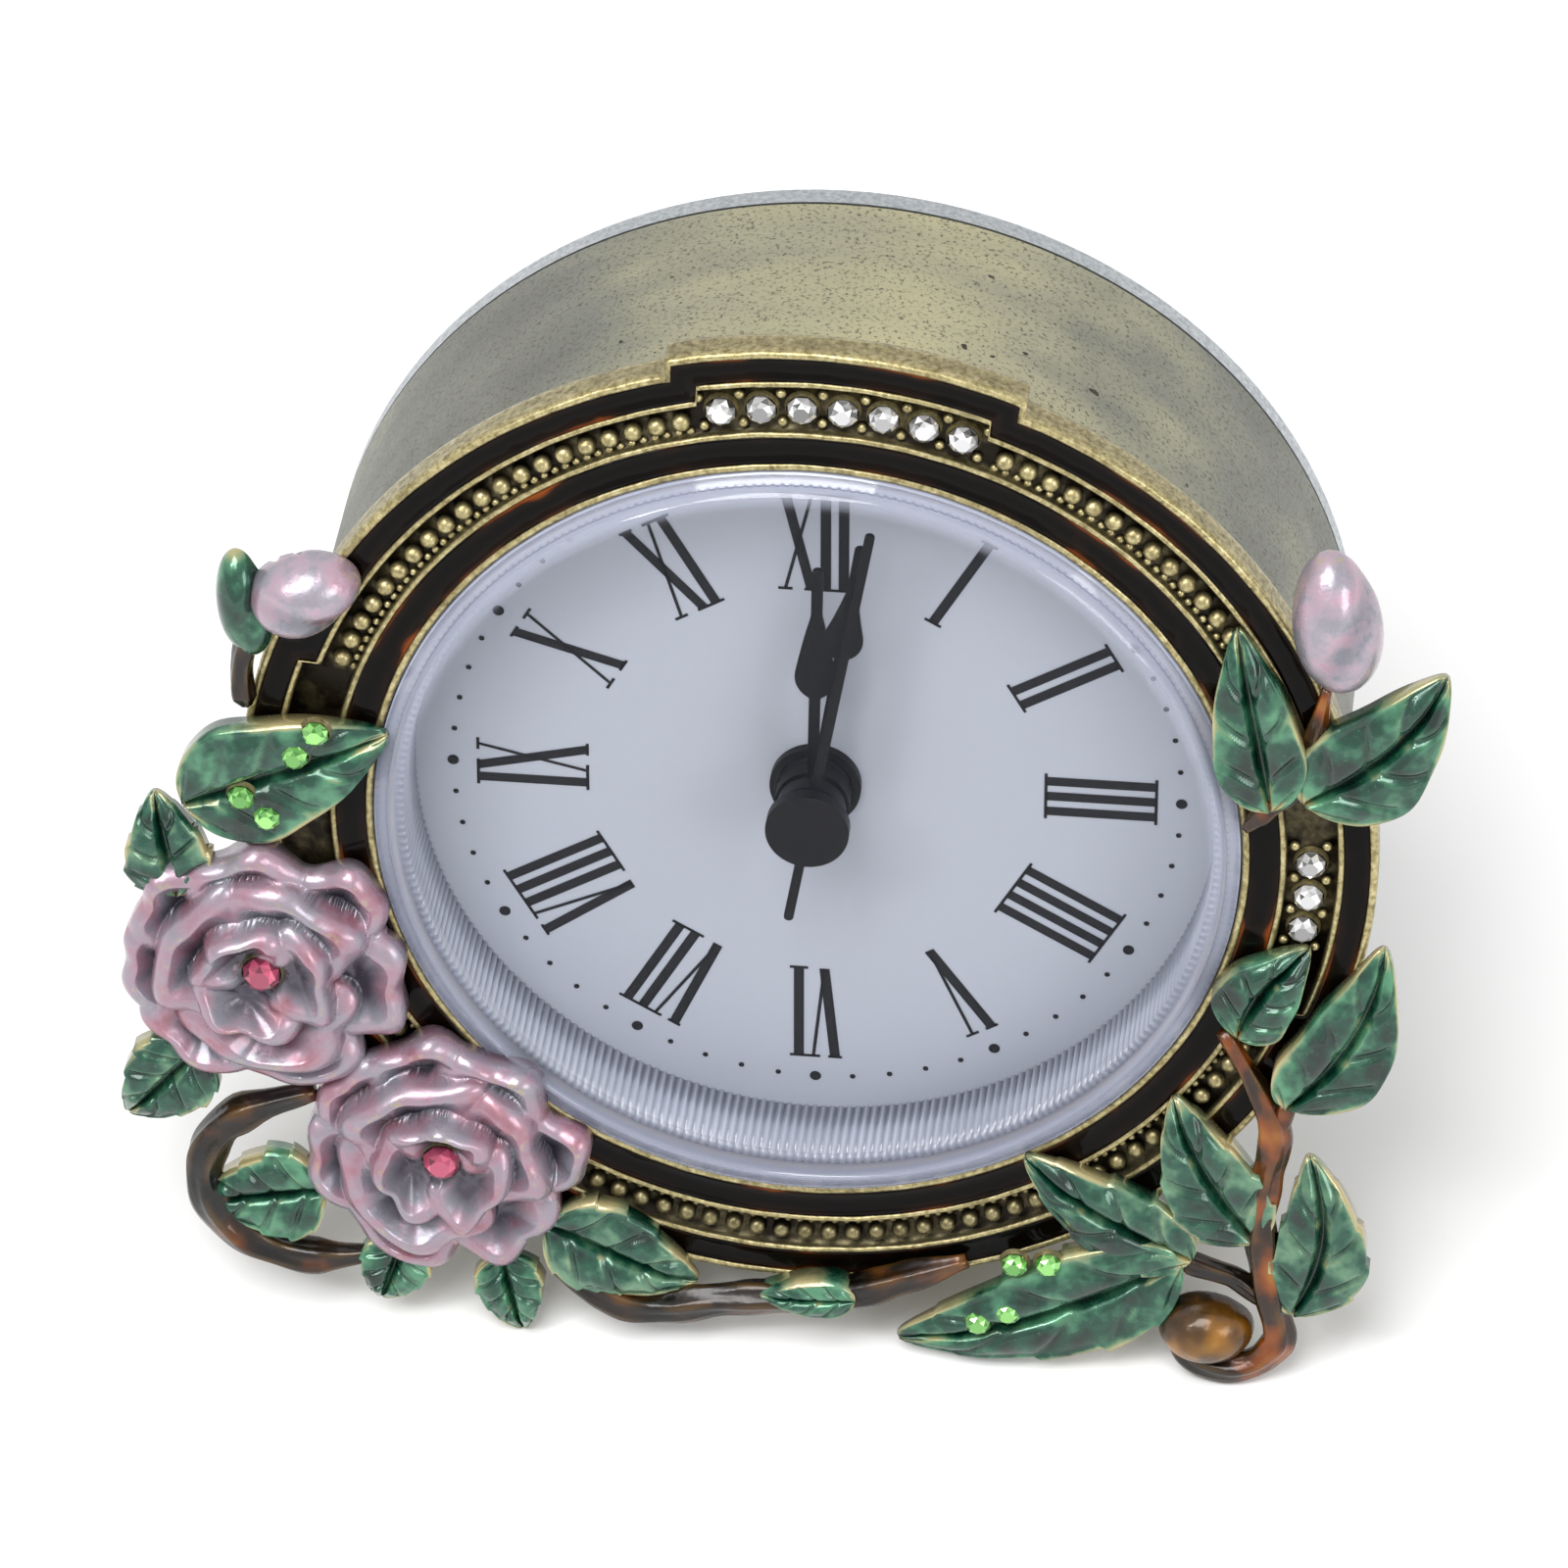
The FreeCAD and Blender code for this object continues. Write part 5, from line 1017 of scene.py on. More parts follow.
@dataclass
class Buds:
    """Closed buds of wrapped petals, and the green sepal beside the left one."""

    bench: Bench
    steps_along: int = 28
    steps_round: int = 36

    def add_egg(self, shape: Shape, centre: Vector, half_length: float, radius: float,
                direction: float, folds: float, height: float = 1.12) -> None:
        """Shape an egg with spiral folds, flat at the back.

        Args:
            shape: the mesh that takes it.
            centre: its middle on the back plane.
            half_length: half its length.
            radius: its largest radius.
            direction: where it points, in degrees from X.
            folds: depth of the folds as a share of the radius.
            height: its height as a share of the radius.
        """
        turn = math.radians(direction)
        way = Vector((math.cos(turn), 0, math.sin(turn)))
        side = Vector((way.z, 0, -way.x))
        rim, deep = shape.layer("rim"), shape.layer("deep")
        made = bmesh.ops.create_uvsphere(shape.bm, u_segments=self.steps_round, v_segments=self.steps_along,
                                         radius=1.0)["verts"]
        for vert in made:
            x, y, z = vert.co
            angle = math.atan2(y, x)
            fold = max(0.0, math.sin(1.5 * angle + 2.2 * z)) ** 3 * (1 - z * z)
            reach = math.hypot(x, y) * (1 - folds * fold) * (1 - 0.10 * z)
            across, front = math.cos(angle) * reach, math.sin(angle) * reach
            vert.co = (centre + way * (z * half_length) + side * (across * radius)
                       + Vector((0, -max(0.0, front * height + 0.1) * radius, 0)))
            # The folds count as hollow, so the bud enamel paints shade into them.
            vert[deep] = fold * 0.3
            vert[rim] = max(0.0, z) ** 6

    def build(self) -> None:
        """Build both buds and the sepal."""
        for name, share, finish, slot, folds in (
            ("right_bud", (0.939, 0.550, 0.143, 0.080, 98.0), "bud_enamel", "deep_pink_enamel", 0.14),
            ("left_bud", (-0.893, 0.484, 0.104, 0.080, 25.0), "bud_enamel", "deep_pink_enamel", 0.14),
            ("left_bud_sepal", (-1.005, 0.450, 0.110, 0.050, 98.0), "emerald_enamel", "emerald_enamel", 0.30),
        ):
            shape = Shape()
            across, up, half_length, radius, direction = share
            self.add_egg(shape, face_point(across, up), half_length * PLATE_RADIUS, radius * PLATE_RADIUS,
                         direction, folds)
            self.bench.dress(shape, name + "_enamelled", finish, slot, stands_for=[name],
                             backing="rubbed_gold")


@dataclass
class Vines:
    """Cast stems with twisted ribs, flat where they meet the back plane."""

    bench: Bench
    ribs: int = 5
    rib_depth: float = 0.13
    twist: float = 0.22
    sink: float = 0.55
    ring: int = 20
    ball_stretch: float = 1.12
    stalks: tuple[tuple[Place, ...], ...] = (
        ((0.690, -0.885), (0.760, -0.905), (0.820, -0.925), (0.880, -0.985)),
        ((0.886, -0.500), (0.872, -0.560), (0.862, -0.640)),
        ((0.835, -0.800), (0.850, -0.860), (0.862, -0.920)),
    )

    def path(self, corners: Sequence[Vector]) -> list[Vector]:
        """Smooth a run of corners.

        Args:
            corners: the corners of the run.

        Returns:
            Points along a smooth curve through it, read from a NURBS curve.
        """
        curve = bpy.data.curves.new("run", "CURVE")
        curve.dimensions = "3D"
        spline = curve.splines.new("NURBS")
        spline.points.add(len(corners) - 1)
        for point, corner in zip(spline.points, corners):
            point.co = (*corner, 1.0)
        spline.order_u = 3
        spline.use_endpoint_u = True
        spline.resolution_u = 10
        holder = bpy.data.objects.new("run", curve)
        mesh = bpy.data.meshes.new_from_object(holder)
        points = [vert.co.copy() for vert in mesh.vertices]
        bpy.data.objects.remove(holder)
        bpy.data.curves.remove(curve)
        bpy.data.meshes.remove(mesh)
        return points

    def add_stem(self, shape: Shape, corners: Sequence[Vector], radius: float, taper: float) -> None:
        """Sweep a ribbed section along a run.

        Args:
            shape: the mesh that takes it.
            corners: the run's corners on the back plane.
            radius: the stem's radius.
            taper: the far end's radius as a share of the near end's.
        """
        points = self.path(corners)
        rim = shape.layer("rim")
        walked = 0.0
        loops = []
        for index, point in enumerate(points):
            ahead = points[min(index + 1, len(points) - 1)] - points[max(index - 1, 0)]
            side = Vector((ahead.z, 0, -ahead.x)).normalized()
            if index:
                walked += (point - points[index - 1]).length
            share = index / (len(points) - 1)
            size = radius * (1 - (1 - taper) * share) * (1 + 0.06 * math.sin(walked * 1.3))
            size *= min(1.0, 0.45 + 5 * share, 0.45 + 5 * (1 - share))
            loop = bmesh.ops.create_circle(shape.bm, segments=self.ring, radius=1.0)["verts"]
            loops.append(list(dict.fromkeys(edge for vert in loop for edge in vert.link_edges)))
            for vert in loop:
                angle = math.atan2(vert.co.y, vert.co.x)
                rib = math.cos(self.ribs * angle + walked * self.twist * math.tau / radius / 3)
                reach = size * (1 - self.rib_depth + self.rib_depth * rib)
                front = -radius * self.sink - math.sin(angle) * reach
                vert.co = point + side * (math.cos(angle) * reach) + Vector((0, min(0.0, front), 0))
                vert[rim] = max(0.0, rib - 0.80) * 1.6
        for first, second in zip(loops, loops[1:]):
            bmesh.ops.bridge_loops(shape.bm, edges=first + second)
        for edges in (loops[0], loops[-1]):
            bmesh.ops.contextual_create(shape.bm, geom=edges)

    def add_ball(self, shape: Shape, centre: Vector, radius: float) -> None:
        """Add the ball that ends the curl, with a spiral groove.

        Args:
            shape: the mesh that takes it.
            centre: its middle.
            radius: its radius.
        """
        rim = shape.layer("rim")
        made = bmesh.ops.create_uvsphere(shape.bm, u_segments=40, v_segments=28, radius=radius)["verts"]
        for vert in made:
            angle = math.atan2(vert.co.z, vert.co.x)
            out = math.hypot(vert.co.x, vert.co.z) / radius
            groove = max(0.0, math.sin(angle + out * 7.0)) ** 6 * out
            vert.co *= 1 - 0.05 * groove
            vert.co.x *= self.ball_stretch
            vert.co.z /= self.ball_stretch
            vert[rim] = max(0.0, 0.5 - out) * 0.8
            vert.co += centre
            vert.co.y = min(0.0, vert.co.y)

    def build(self) -> None:
        """Build the vines, the curl and the bud stems."""
        def run(*shares: Place) -> list[Vector]:
            """Corners from shares of the plate's radius."""
            return [face_point(*share) for share in shares]

        foot = 1.4 - FOOT_REACH
        curl = [Vector((x * PLATE_RADIUS, 0, foot + up * PLATE_RADIUS)) for x, up in
                ((0.880, 0.045), (0.845, 0.0), (0.770, -0.012), (0.700, 0.020), (0.690, 0.075))]
        stems = {
            "left_vine_loop": (run((-0.908, -0.620), (-1.053, -0.668), (-1.133, -0.787), (-1.107, -0.920),
                                   (-1.017, -0.993), (-0.908, -1.012), (-0.811, -0.988)), 1.65, 0.9),
            "bottom_vine": (run((-0.460, -0.998), (-0.385, -1.048), (-0.291, -1.078), (-0.145, -1.036),
                                (0.080, -1.019), (0.201, -0.959), (0.305, -0.915)), 1.6, 0.9),
            "right_vine": (run((0.765, -0.354), (0.843, -0.496), (0.872, -0.586), (0.850, -0.690),
                               (0.845, -0.845), (0.880, -1.000), (0.892, -1.050)) + curl, 1.35, 1.0),
            "right_bud_stem": (run((0.792, 0.092), (0.838, 0.153), (0.872, 0.170), (0.903, 0.254),
                                   (0.927, 0.410)), 0.95, 0.9),
            "left_bud_stem": (run((-1.007, 0.230), (-1.030, 0.320), (-0.990, 0.395)), 0.95, 1.0),
        }
        for name, (corners, radius, taper) in stems.items():
            shape = Shape()
            self.add_stem(shape, corners, radius, taper)
            if name == "right_vine":
                for stalk in self.stalks:
                    self.add_stem(shape, run(*stalk), 1.0, 0.9)
                ball = Shape()
                self.add_ball(ball, Vector((0.752 * PLATE_RADIUS, -0.4, foot + 0.080 * PLATE_RADIUS)), 3.3)
                self.bench.dress(ball, "curl_ball", "golden_brown_enamel", "amber_enamel")
            shape.face_out()
            finish = "dark_amber_enamel" if name in ("left_vine_loop", "bottom_vine") else "amber_enamel"
            self.bench.dress(shape, name + "_enamelled", finish, "amber_enamel", stands_for=[name],
                             backing="rubbed_gold")


@dataclass
class Stones:
    """Cut stones: a flat table, two rows of facets and a narrow seat in a gold collar."""

    bench: Bench
    clear_radius: float = 1.15
    green_radius: float = 1.05
    rose_radius: float = 1.5
    row_radius: float = 37.6
    leaf_top: float = -1.55
    rose_top: float = -2.9
    sides: int = 8
    # From the seat to the table: radius and height as shares of the girdle's radius.
    rows: tuple[Place, ...] = ((0.86, 0.0), (1.0, 0.50), (0.80, 0.86), (0.52, 1.08))

    def add_stone(self, shape: Shape, centre: Vector, radius: float, seed: int) -> None:
        """Shape one stone with its table towards the front.

        Args:
            shape: the mesh that takes it.
            centre: the middle of its seat.
            radius: its girdle's radius.
            seed: what makes its facets' painted reflections differ.
        """
        painted_facet_reflection = shape.facets.get("painted_facet_reflection") or shape.facets.new("painted_facet_reflection")
        corners = []
        for level, (share, height) in enumerate(self.rows):
            half_step = Matrix.Rotation(level % 2 * math.pi / self.sides, 4, "Y")
            place = Matrix.Translation(centre + Vector((0, -radius * height, 0))) @ half_step @ TO_FRONT
            corners += bmesh.ops.create_circle(shape.bm, segments=self.sides, radius=radius * share,
                                               matrix=place)["verts"]
        bmesh.ops.convex_hull(shape.bm, input=corners)
        edges = list(dict.fromkeys(edge for corner in corners for edge in corner.link_edges))
        bmesh.ops.dissolve_limit(shape.bm, angle_limit=math.radians(1), verts=corners, edges=edges)
        faces = dict.fromkeys(face for corner in corners for face in corner.link_faces)
        # Each face gets a random painted reflection, from dark to bright.
        for number, face in enumerate(faces, seed + 1):
            face[painted_facet_reflection] = (math.sin(number * 12.9898 + seed) * 43758.5453) % 1.0

    def add_collar(self, shape: Shape, centre: Vector, radius: float) -> None:
        """Add the thin gold collar that holds a stone.

        Args:
            shape: the mesh that takes it.
            centre: the middle of the stone's seat.
            radius: the stone's radius.
        """
        made = bmesh.ops.create_cone(shape.bm, cap_ends=False, segments=24, radius1=radius * 1.16,
                                     radius2=radius * 1.02, depth=radius * 0.42)["verts"]
        place = Matrix.Translation(centre + Vector((0, -radius * 0.2, 0))) @ TO_FRONT
        bmesh.ops.transform(shape.bm, matrix=place, verts=made)

    def row(self, middle: float, count: int) -> list[Vector]:
        """Lay out a panel's row of stones.

        Args:
            middle: the panel's clock angle before the panels' own turn.
            count: how many stones it has.

        Returns:
            The middles of their seats.
        """
        angles = [PANEL_TURN + middle + (place - (count - 1) / 2) * STONE_PITCH for place in range(count)]
        return [clock_point(self.row_radius, angle, CHANNEL_FLOOR) for angle in angles]

    def build(self) -> None:
        """Build every set of stones."""
        def seats(depth: float, *shares: Place) -> list[Vector]:
            """Seats at one depth from shares of the plate's radius."""
            return [face_point(*share, depth) for share in shares]

        left = seats(self.leaf_top, (-0.879, 0.201), (-0.918, 0.148), (-1.019, 0.051), (-0.973, 0.010))
        right = seats(self.leaf_top, (0.395, -0.898), (0.458, -0.893), (0.329, -1.039), (0.385, -1.010))
        roses = seats(self.rose_top, (-0.988, -0.312), (-0.666, -0.717))
        collars = Shape()
        for name, centres, radius, finish in (
            ("crest_stones", self.row(0, 7), self.clear_radius, "clear_stone"),
            ("side_stones", self.row(90, 3), self.clear_radius, "clear_stone"),
            ("left_leaf_stones", left, self.green_radius, "green_stone"),
            ("right_leaf_stones", right, self.green_radius, "green_stone"),
            ("rose_stones", roses, self.rose_radius, "pink_stone"),
        ):
            shape = Shape()
            for index, centre in enumerate(centres):
                self.add_stone(shape, centre, radius, index * 17 + len(name))
                self.add_collar(collars, centre, radius)
            shape.face_out()
            self.bench.dress(shape, name + "_cut", finish, finish, stands_for=[name], smooth=False)
        self.bench.dress(collars, "stone_collars", "rubbed_gold", "gold_plate")


@dataclass
class Beadwork:
    """Cast beads in the sunk ring between the two enamel rings, with a row of grains inside them."""

    bench: Bench
    pitch: float = 1.85
    bead_radius: float = 0.74
    grain_radius: float = 0.34
    row: float = 37.05
    grain_row: float = 36.05
    claw_rows: Place = (36.4, 38.8)

    def add_bead(self, shape: Shape, centre: Vector, radius: float) -> None:
        """Add one low round bead, darker the lower on the ring it lies.

        Args:
            shape: the mesh that takes it.
            centre: its middle.
            radius: its radius.
        """
        patina = shape.layer("patina")
        low = max(0.0, -centre.z / self.row)
        made = bmesh.ops.create_icosphere(shape.bm, subdivisions=2, radius=radius)["verts"]
        for vert in made:
            vert[patina] = min(1.0, max(0.0, 0.85 + 0.6 * low + vert.co.y / radius * 1.1))
        bmesh.ops.translate(shape.bm, verts=made, vec=centre)

    def build(self) -> None:
        """Build the ring of beads and grains."""
        shape = Shape()
        count = round(math.tau * self.row / self.pitch)
        for index in range(count):
            angle = index * 360 / count
            if in_panel(angle, PANEL_HALF + 0.6):
                continue
            self.add_bead(shape, clock_point(self.row, angle, CHANNEL_FLOOR - 0.30), self.bead_radius)
            for offset in (-0.25, 0.25):
                at = clock_point(self.grain_row, angle + offset * 360 / count, CHANNEL_FLOOR - 0.12)
                self.add_bead(shape, at, self.grain_radius)
        for middle, stones in ((0, 7), (90, 3)):
            for gap in range(stones + 1):
                angle = PANEL_TURN + middle + (gap - stones / 2) * STONE_PITCH
                for row in self.claw_rows:
                    at = clock_point(row, angle, CHANNEL_FLOOR - 0.15)
                    self.add_bead(shape, at, self.grain_radius * 1.2)
        self.bench.dress(shape, "bead_ring", "rubbed_gold", "gold_plate")


@dataclass
class DialPrint:
    """Printed numerals and dots: a hair above the dial card."""

    bench: Bench
    outer: float = 25.6
    inner: float = 17.3
    thick: float = 0.78
    thin: float = 0.26
    spread: float = 1.35
    serif: float = 0.24
    dot_row: float = 27.5
    hour_dot: float = 0.44
    minute_dot: float = 0.22
    print_depth: float = 0.04
    numerals: tuple[str, ...] = ("XII", "I", "II", "III", "IIII", "V", "VI", "VII", "VIII", "IX", "X", "XI")

    def add_bar(self, shape: Shape, low: Place, high: Place, width: float, angle: float) -> None:
        """Add one printed stroke.

        Args:
            shape: the mesh that takes it.
            low: its end across and out from the dial's centre.
            high: its other end.
            width: its width.
            angle: the numeral's clock angle.
        """
        run = Vector((high[0] - low[0], 0, high[1] - low[1]))
        place = Matrix((Vector((width, 0, 0)), run, Vector((0, -1, 0)))).transposed().to_4x4()
        place.translation = Vector((low[0], DIAL_DEPTH - self.print_depth, low[1])) + run / 2
        turn = Matrix.Rotation(math.radians(angle), 4, "Y")
        bmesh.ops.create_grid(shape.bm, x_segments=1, y_segments=1, size=0.5, matrix=turn @ place)

    def glyphs(self, numeral: str) -> list[tuple[str, float]]:
        """Lay out a numeral's letters side by side.

        Args:
            numeral: its letters.

        Returns:
            Each letter with its middle across.
        """
        widths = {"I": self.spread, "V": self.spread * 1.9, "X": self.spread * 2.0}
        start = -sum(widths[letter] for letter in numeral) / 2
        placed = []
        for letter in numeral:
            placed.append((letter, start + widths[letter] / 2))
            start += widths[letter]
        return placed

    def add_numeral(self, shape: Shape, numeral: str, angle: float) -> None:
        """Print one numeral with its feet towards the centre.

        Args:
            shape: the mesh that takes it.
            numeral: its letters.
            angle: its clock angle.
        """
        low, high = self.inner, self.outer
        # Each letter's strokes: how far its foot and its head lean, and the stroke's width.
        strokes = {"I": ((0.0, 0.0, self.thick),), "V": ((0.0, -0.62, self.thick), (0.0, 0.62, self.thin)),
                   "X": ((0.72, -0.72, self.thick), (-0.72, 0.72, self.thin))}
        for letter, middle in self.glyphs(numeral):
            for foot, head, width in strokes[letter]:
                start, end = middle + foot * self.spread, middle + head * self.spread
                self.add_bar(shape, (start, low), (end, high), width, angle)
                half = self.spread * 0.52 if letter == "I" else self.spread * 0.40
                for at, out in ((start, low), (end, high)):
                    if letter != "V" or out == high:
                        low_end, high_end = (at, out - self.serif / 2), (at, out + self.serif / 2)
                        self.add_bar(shape, low_end, high_end, half * 2, angle)

    def build(self) -> None:
        """Print the numerals, and the hour and minute dots."""
        shape = Shape()
        for hour, numeral in enumerate(self.numerals):
            self.add_numeral(shape, numeral, hour * 30.0)
        for minute in range(60):
            radius = self.minute_dot if minute % 5 else self.hour_dot
            made = bmesh.ops.create_circle(shape.bm, cap_ends=True, segments=20, radius=radius)["verts"]
            at = clock_point(self.dot_row, minute * 6.0, DIAL_DEPTH - self.print_depth)
            bmesh.ops.transform(shape.bm, matrix=Matrix.Translation(at) @ TO_FRONT, verts=made)
        for face in shape.bm.faces:
            face.normal_update()
            if face.normal.y > 0:
                face.normal_flip()
        self.bench.dress(shape, "dial_numerals", "dial_ink", "black_hand", smooth=False)


@dataclass
class Lens:
    """The clear window with its rounded edge, fluted wall and flange."""

    bench: Bench
    radius: float = 31.4
    proud: float = 1.2
    flange: float = 32.4
    wall: float = 31.1
    inner: float = 30.0
    edge_round: float = 1.1
    edge_steps: int = 8
    window_steps: int = 240
    flange_back: float = 1.2
    inside: float = 0.3
    milk_most: float = 0.75
    milk_rise: float = 0.45
    flute_count: int = 288
    flute_depth: float = 0.22
    tooth_depth: float = 0.14

    def valley(self, vert: BMVert) -> float:
        """How deep in a flute a point's angle is, from 0 to 1."""
        return 0.5 - 0.5 * math.cos(self.flute_count * math.atan2(vert.co.x, vert.co.z))

    def build_teeth(self) -> None:
        """Build the fine teeth round the flange's front edge, as a thin ring."""
        ring = Shape()
        low, high = self.radius + 0.05, self.flange - 0.1
        ring.spin([(low, -0.02), (high, -0.02), (high, -0.32), (low, -0.32)], self.flute_count * 4)
        for vert in ring.bm.verts:
            if vert.co.y < -0.1:
                vert.co.y += self.tooth_depth * self.valley(vert)
        self.bench.dress(ring, "lens_flange_teeth", "clear_window", "clear_acrylic")

    def build_wall(self) -> None:
        """Build the wall with its flutes cut inward from both sides."""
        wall = Shape()
        flute = wall.layer("flute")
        inner = self.inner + 0.3
        outline = [(self.wall, 1.25), (self.wall, DIAL_DEPTH), (inner, DIAL_DEPTH), (inner, 1.25)]
        wall.spin(outline, self.flute_count * 4)
        for vert in wall.bm.verts:
            radius = math.hypot(vert.co.x, vert.co.z)
            valley = self.valley(vert)
            inward = -1 if radius > self.inner + 0.6 else 1
            # The flute number sets the wall's painted light on the ridges and painted shade in the valleys.
            vert[flute] = valley
            vert.co.x *= 1 + inward * self.flute_depth * valley / radius
            vert.co.z *= 1 + inward * self.flute_depth * valley / radius
        self.bench.dress(wall, "lens_fluted_wall", "fluted_wall", "clear_acrylic")

    def build(self) -> None:
        """Build the window and flange, their teeth, and the fluted wall."""
        window = Shape()
        milk = window.layer("milk")
        # The rows of points beside the rounded edge keep its smooth shading from tilting the flat window.
        outline = [(radius, -self.proud) for radius in (0.0, self.radius - 1.7, self.radius - 1.3)]
        for step in range(self.edge_steps + 1):
            angle = math.radians(90 - step * 90 / self.edge_steps)
            outline.append((self.radius - self.edge_round + self.edge_round * math.cos(angle),
                            -self.proud + self.edge_round - self.edge_round * math.sin(angle)))
        outline += [(self.radius, 0.0), (self.flange, 0.0), (self.flange, self.flange_back),
                    (self.wall, self.flange_back), (self.inner + 0.5, self.flange_back),
                    (self.inner - 0.6, 0.35), (self.inner - 0.7, self.inside),
                    (self.inner - 1.1, self.inside), (0.0, self.inside)]
        window.spin(outline, self.window_steps)
        for vert in window.bm.verts:
            out = math.hypot(vert.co.x, vert.co.z) - self.inner
            vert[milk] = min(self.milk_most, max(0.0, self.milk_rise * out))
        self.bench.dress(window, "lens_window", "clear_window", "clear_acrylic", stands_for=["lens"])
        self.build_teeth()
        self.build_wall()


@dataclass
class FaceRing:
    """The cast face plate with its rounded ridges and sunk rings, and the enamel poured into two of them."""

    bench: Bench
    steps: int = 720
    outer_half: float = 18.1
    panel_start: float = 38.0
    blend_radii: Place = (38.8, 40.9)
    unevenness: float = 0.05
    # Outlines as radius, depth and patina or nearness to an edge.
    casting: tuple[Spot, ...] = (
        (32.5, 1.25, 0.9), (32.5, 0.20, 0.5), (32.62, 0.05, 0.1), (32.8, 0.0, 0.0), (33.0, 0.05, 0.1),
        (33.1, 0.2, 0.6), (33.1, 0.8, 1.0), (35.3, 0.8, 1.0), (35.3, 0.2, 0.6), (35.4, 0.05, 0.1),
        (35.55, 0.0, 0.0), (35.7, 0.05, 0.2), (35.8, 0.25, 0.7), (35.85, 0.9, 1.0), (36.6, 0.9, 1.0),
        (37.4, 0.9, 1.0), (38.25, 0.9, 1.0), (38.3, 0.25, 0.7), (38.4, 0.05, 0.2), (38.55, 0.0, 0.0),
        (38.7, 0.05, 0.1), (38.8, 0.2, 0.6), (38.8, 0.8, 1.0), (40.9, 0.8, 1.0), (40.7, 0.22, 0.6),
        (40.75, 0.06, 0.15), (40.95, 0.0, 0.0), (41.15, 0.05, 0.0), (41.3, 0.25, 0.0),
        (41.3, 0.9, 0.25), (41.25, 1.6, 0.35), (41.3, 2.3, 0.2), (41.2, 2.8, 0.1), (40.9, 3.0, 0.5),
        (33.7, 3.0, 0.8), (33.7, 14.0, 0.5), (32.5, 14.0, 0.5), (32.5, 6.0, 0.5),
    )
    enamels: tuple[tuple[str, tuple[Spot, ...]], ...] = (
        ("inner_enamel", ((33.12, 0.78, 1.0), (33.12, 0.13, 1.0), (33.35, 0.22, 0.5), (33.9, 0.30, 0.0),
                          (34.5, 0.30, 0.0), (35.05, 0.22, 0.5), (35.28, 0.13, 1.0), (35.28, 0.78, 1.0))),
        ("outer_enamel", ((38.82, 0.78, 1.0), (38.82, 0.13, 1.0), (39.05, 0.22, 0.5), (39.6, 0.30, 0.0),
                          (40.1, 0.30, 0.0), (40.5, 0.24, 0.5), (40.68, 0.16, 1.0), (40.68, 0.78, 1.0))),
    )

    def ring(self, outline: Sequence[Spot], number: str) -> Shape:
        """Spin an outline and step its outer part out at the three panels.

        Args:
            outline: radius, depth and the number that each corner carries.
            number: the name of that number.

        Returns:
            The ring.
        """
        shape = Shape()
        layer = shape.layer(number)
        shape.spin([(radius, depth) for radius, depth, _ in outline], self.steps)
        table = {(round(radius, 3), round(depth, 3)): value for radius, depth, value in outline}
        for vert in shape.bm.verts:
            radius = math.hypot(vert.co.x, vert.co.z)
            vert[layer] = table[(round(radius, 3), round(vert.co.y, 3))]
            angle = math.degrees(math.atan2(vert.co.x, vert.co.z))
            if vert.co.y < 0.1:
                uneven = wave(angle / 360, (23, radius, 0.5), (61, radius * 2, 0.5))
                vert.co.y += self.unevenness * uneven + 0.02
            low, high = self.blend_radii
            share = min(1.0, max(0.0, (radius - low) / (high - low)))
            half = PANEL_HALF + (self.outer_half - PANEL_HALF) * share
            if radius > self.panel_start and in_panel(angle, half):
                vert.co.x *= 1 + PANEL_STEP / radius
                vert.co.z *= 1 + PANEL_STEP / radius
        return shape

    def build(self) -> None:
        """Build the casting and both enamel rings."""
        casting = self.ring(self.casting, "patina")
        self.bench.dress(casting, "face_casting", "rubbed_gold", "gold_plate", stands_for=["front_casting"])
        for name, outline in self.enamels:
            enamel = self.ring(outline, "rim")
            self.bench.dress(enamel, name + "_poured", "ring_enamel", "black_enamel", stands_for=[name])


def dress_nodes(nodes: dict[str, bpy.types.Object], finishes: dict[str, bpy.types.Material]) -> None:
    """Give every frame node that stays its finish.

    Args:
        nodes: the frame's nodes by name.
        finishes: the materials by name.
    """
    wanted = {
        "antique_brass": ("drum_shell",),
        "grey_metal": ("back_ring",),
        "cup_brass": ("insert_cup", "minute_cannon", "centre_wheel"),
        "rubber": ("grip_ring",),
        "dial_card": ("dial",),
        "black_plastic": ("movement_plate", "movement_cover", "gear_bridge", "setting_knob",
                          "battery_cover"),
        "white_plastic": ("coil_bobbin", "hour_wheel", "minute_wheel", "seconds_wheel", "third_wheel",
                          "fifth_wheel"),
        "hand_black": ("hour_hand", "minute_hand", "seconds_hand", "dial_nut"),
        "spring_steel": ("stator", "battery_contacts", "cover_screws", "crystal_can", "battery"),
        "magnet": ("rotor",),
        "copper": ("coil_winding",),
        "board": ("circuit_board",),
    }
    for finish, names in wanted.items():
        for name in names:
            materials = nodes[name].data.materials
            materials.clear()
            materials.append(finishes[finish])


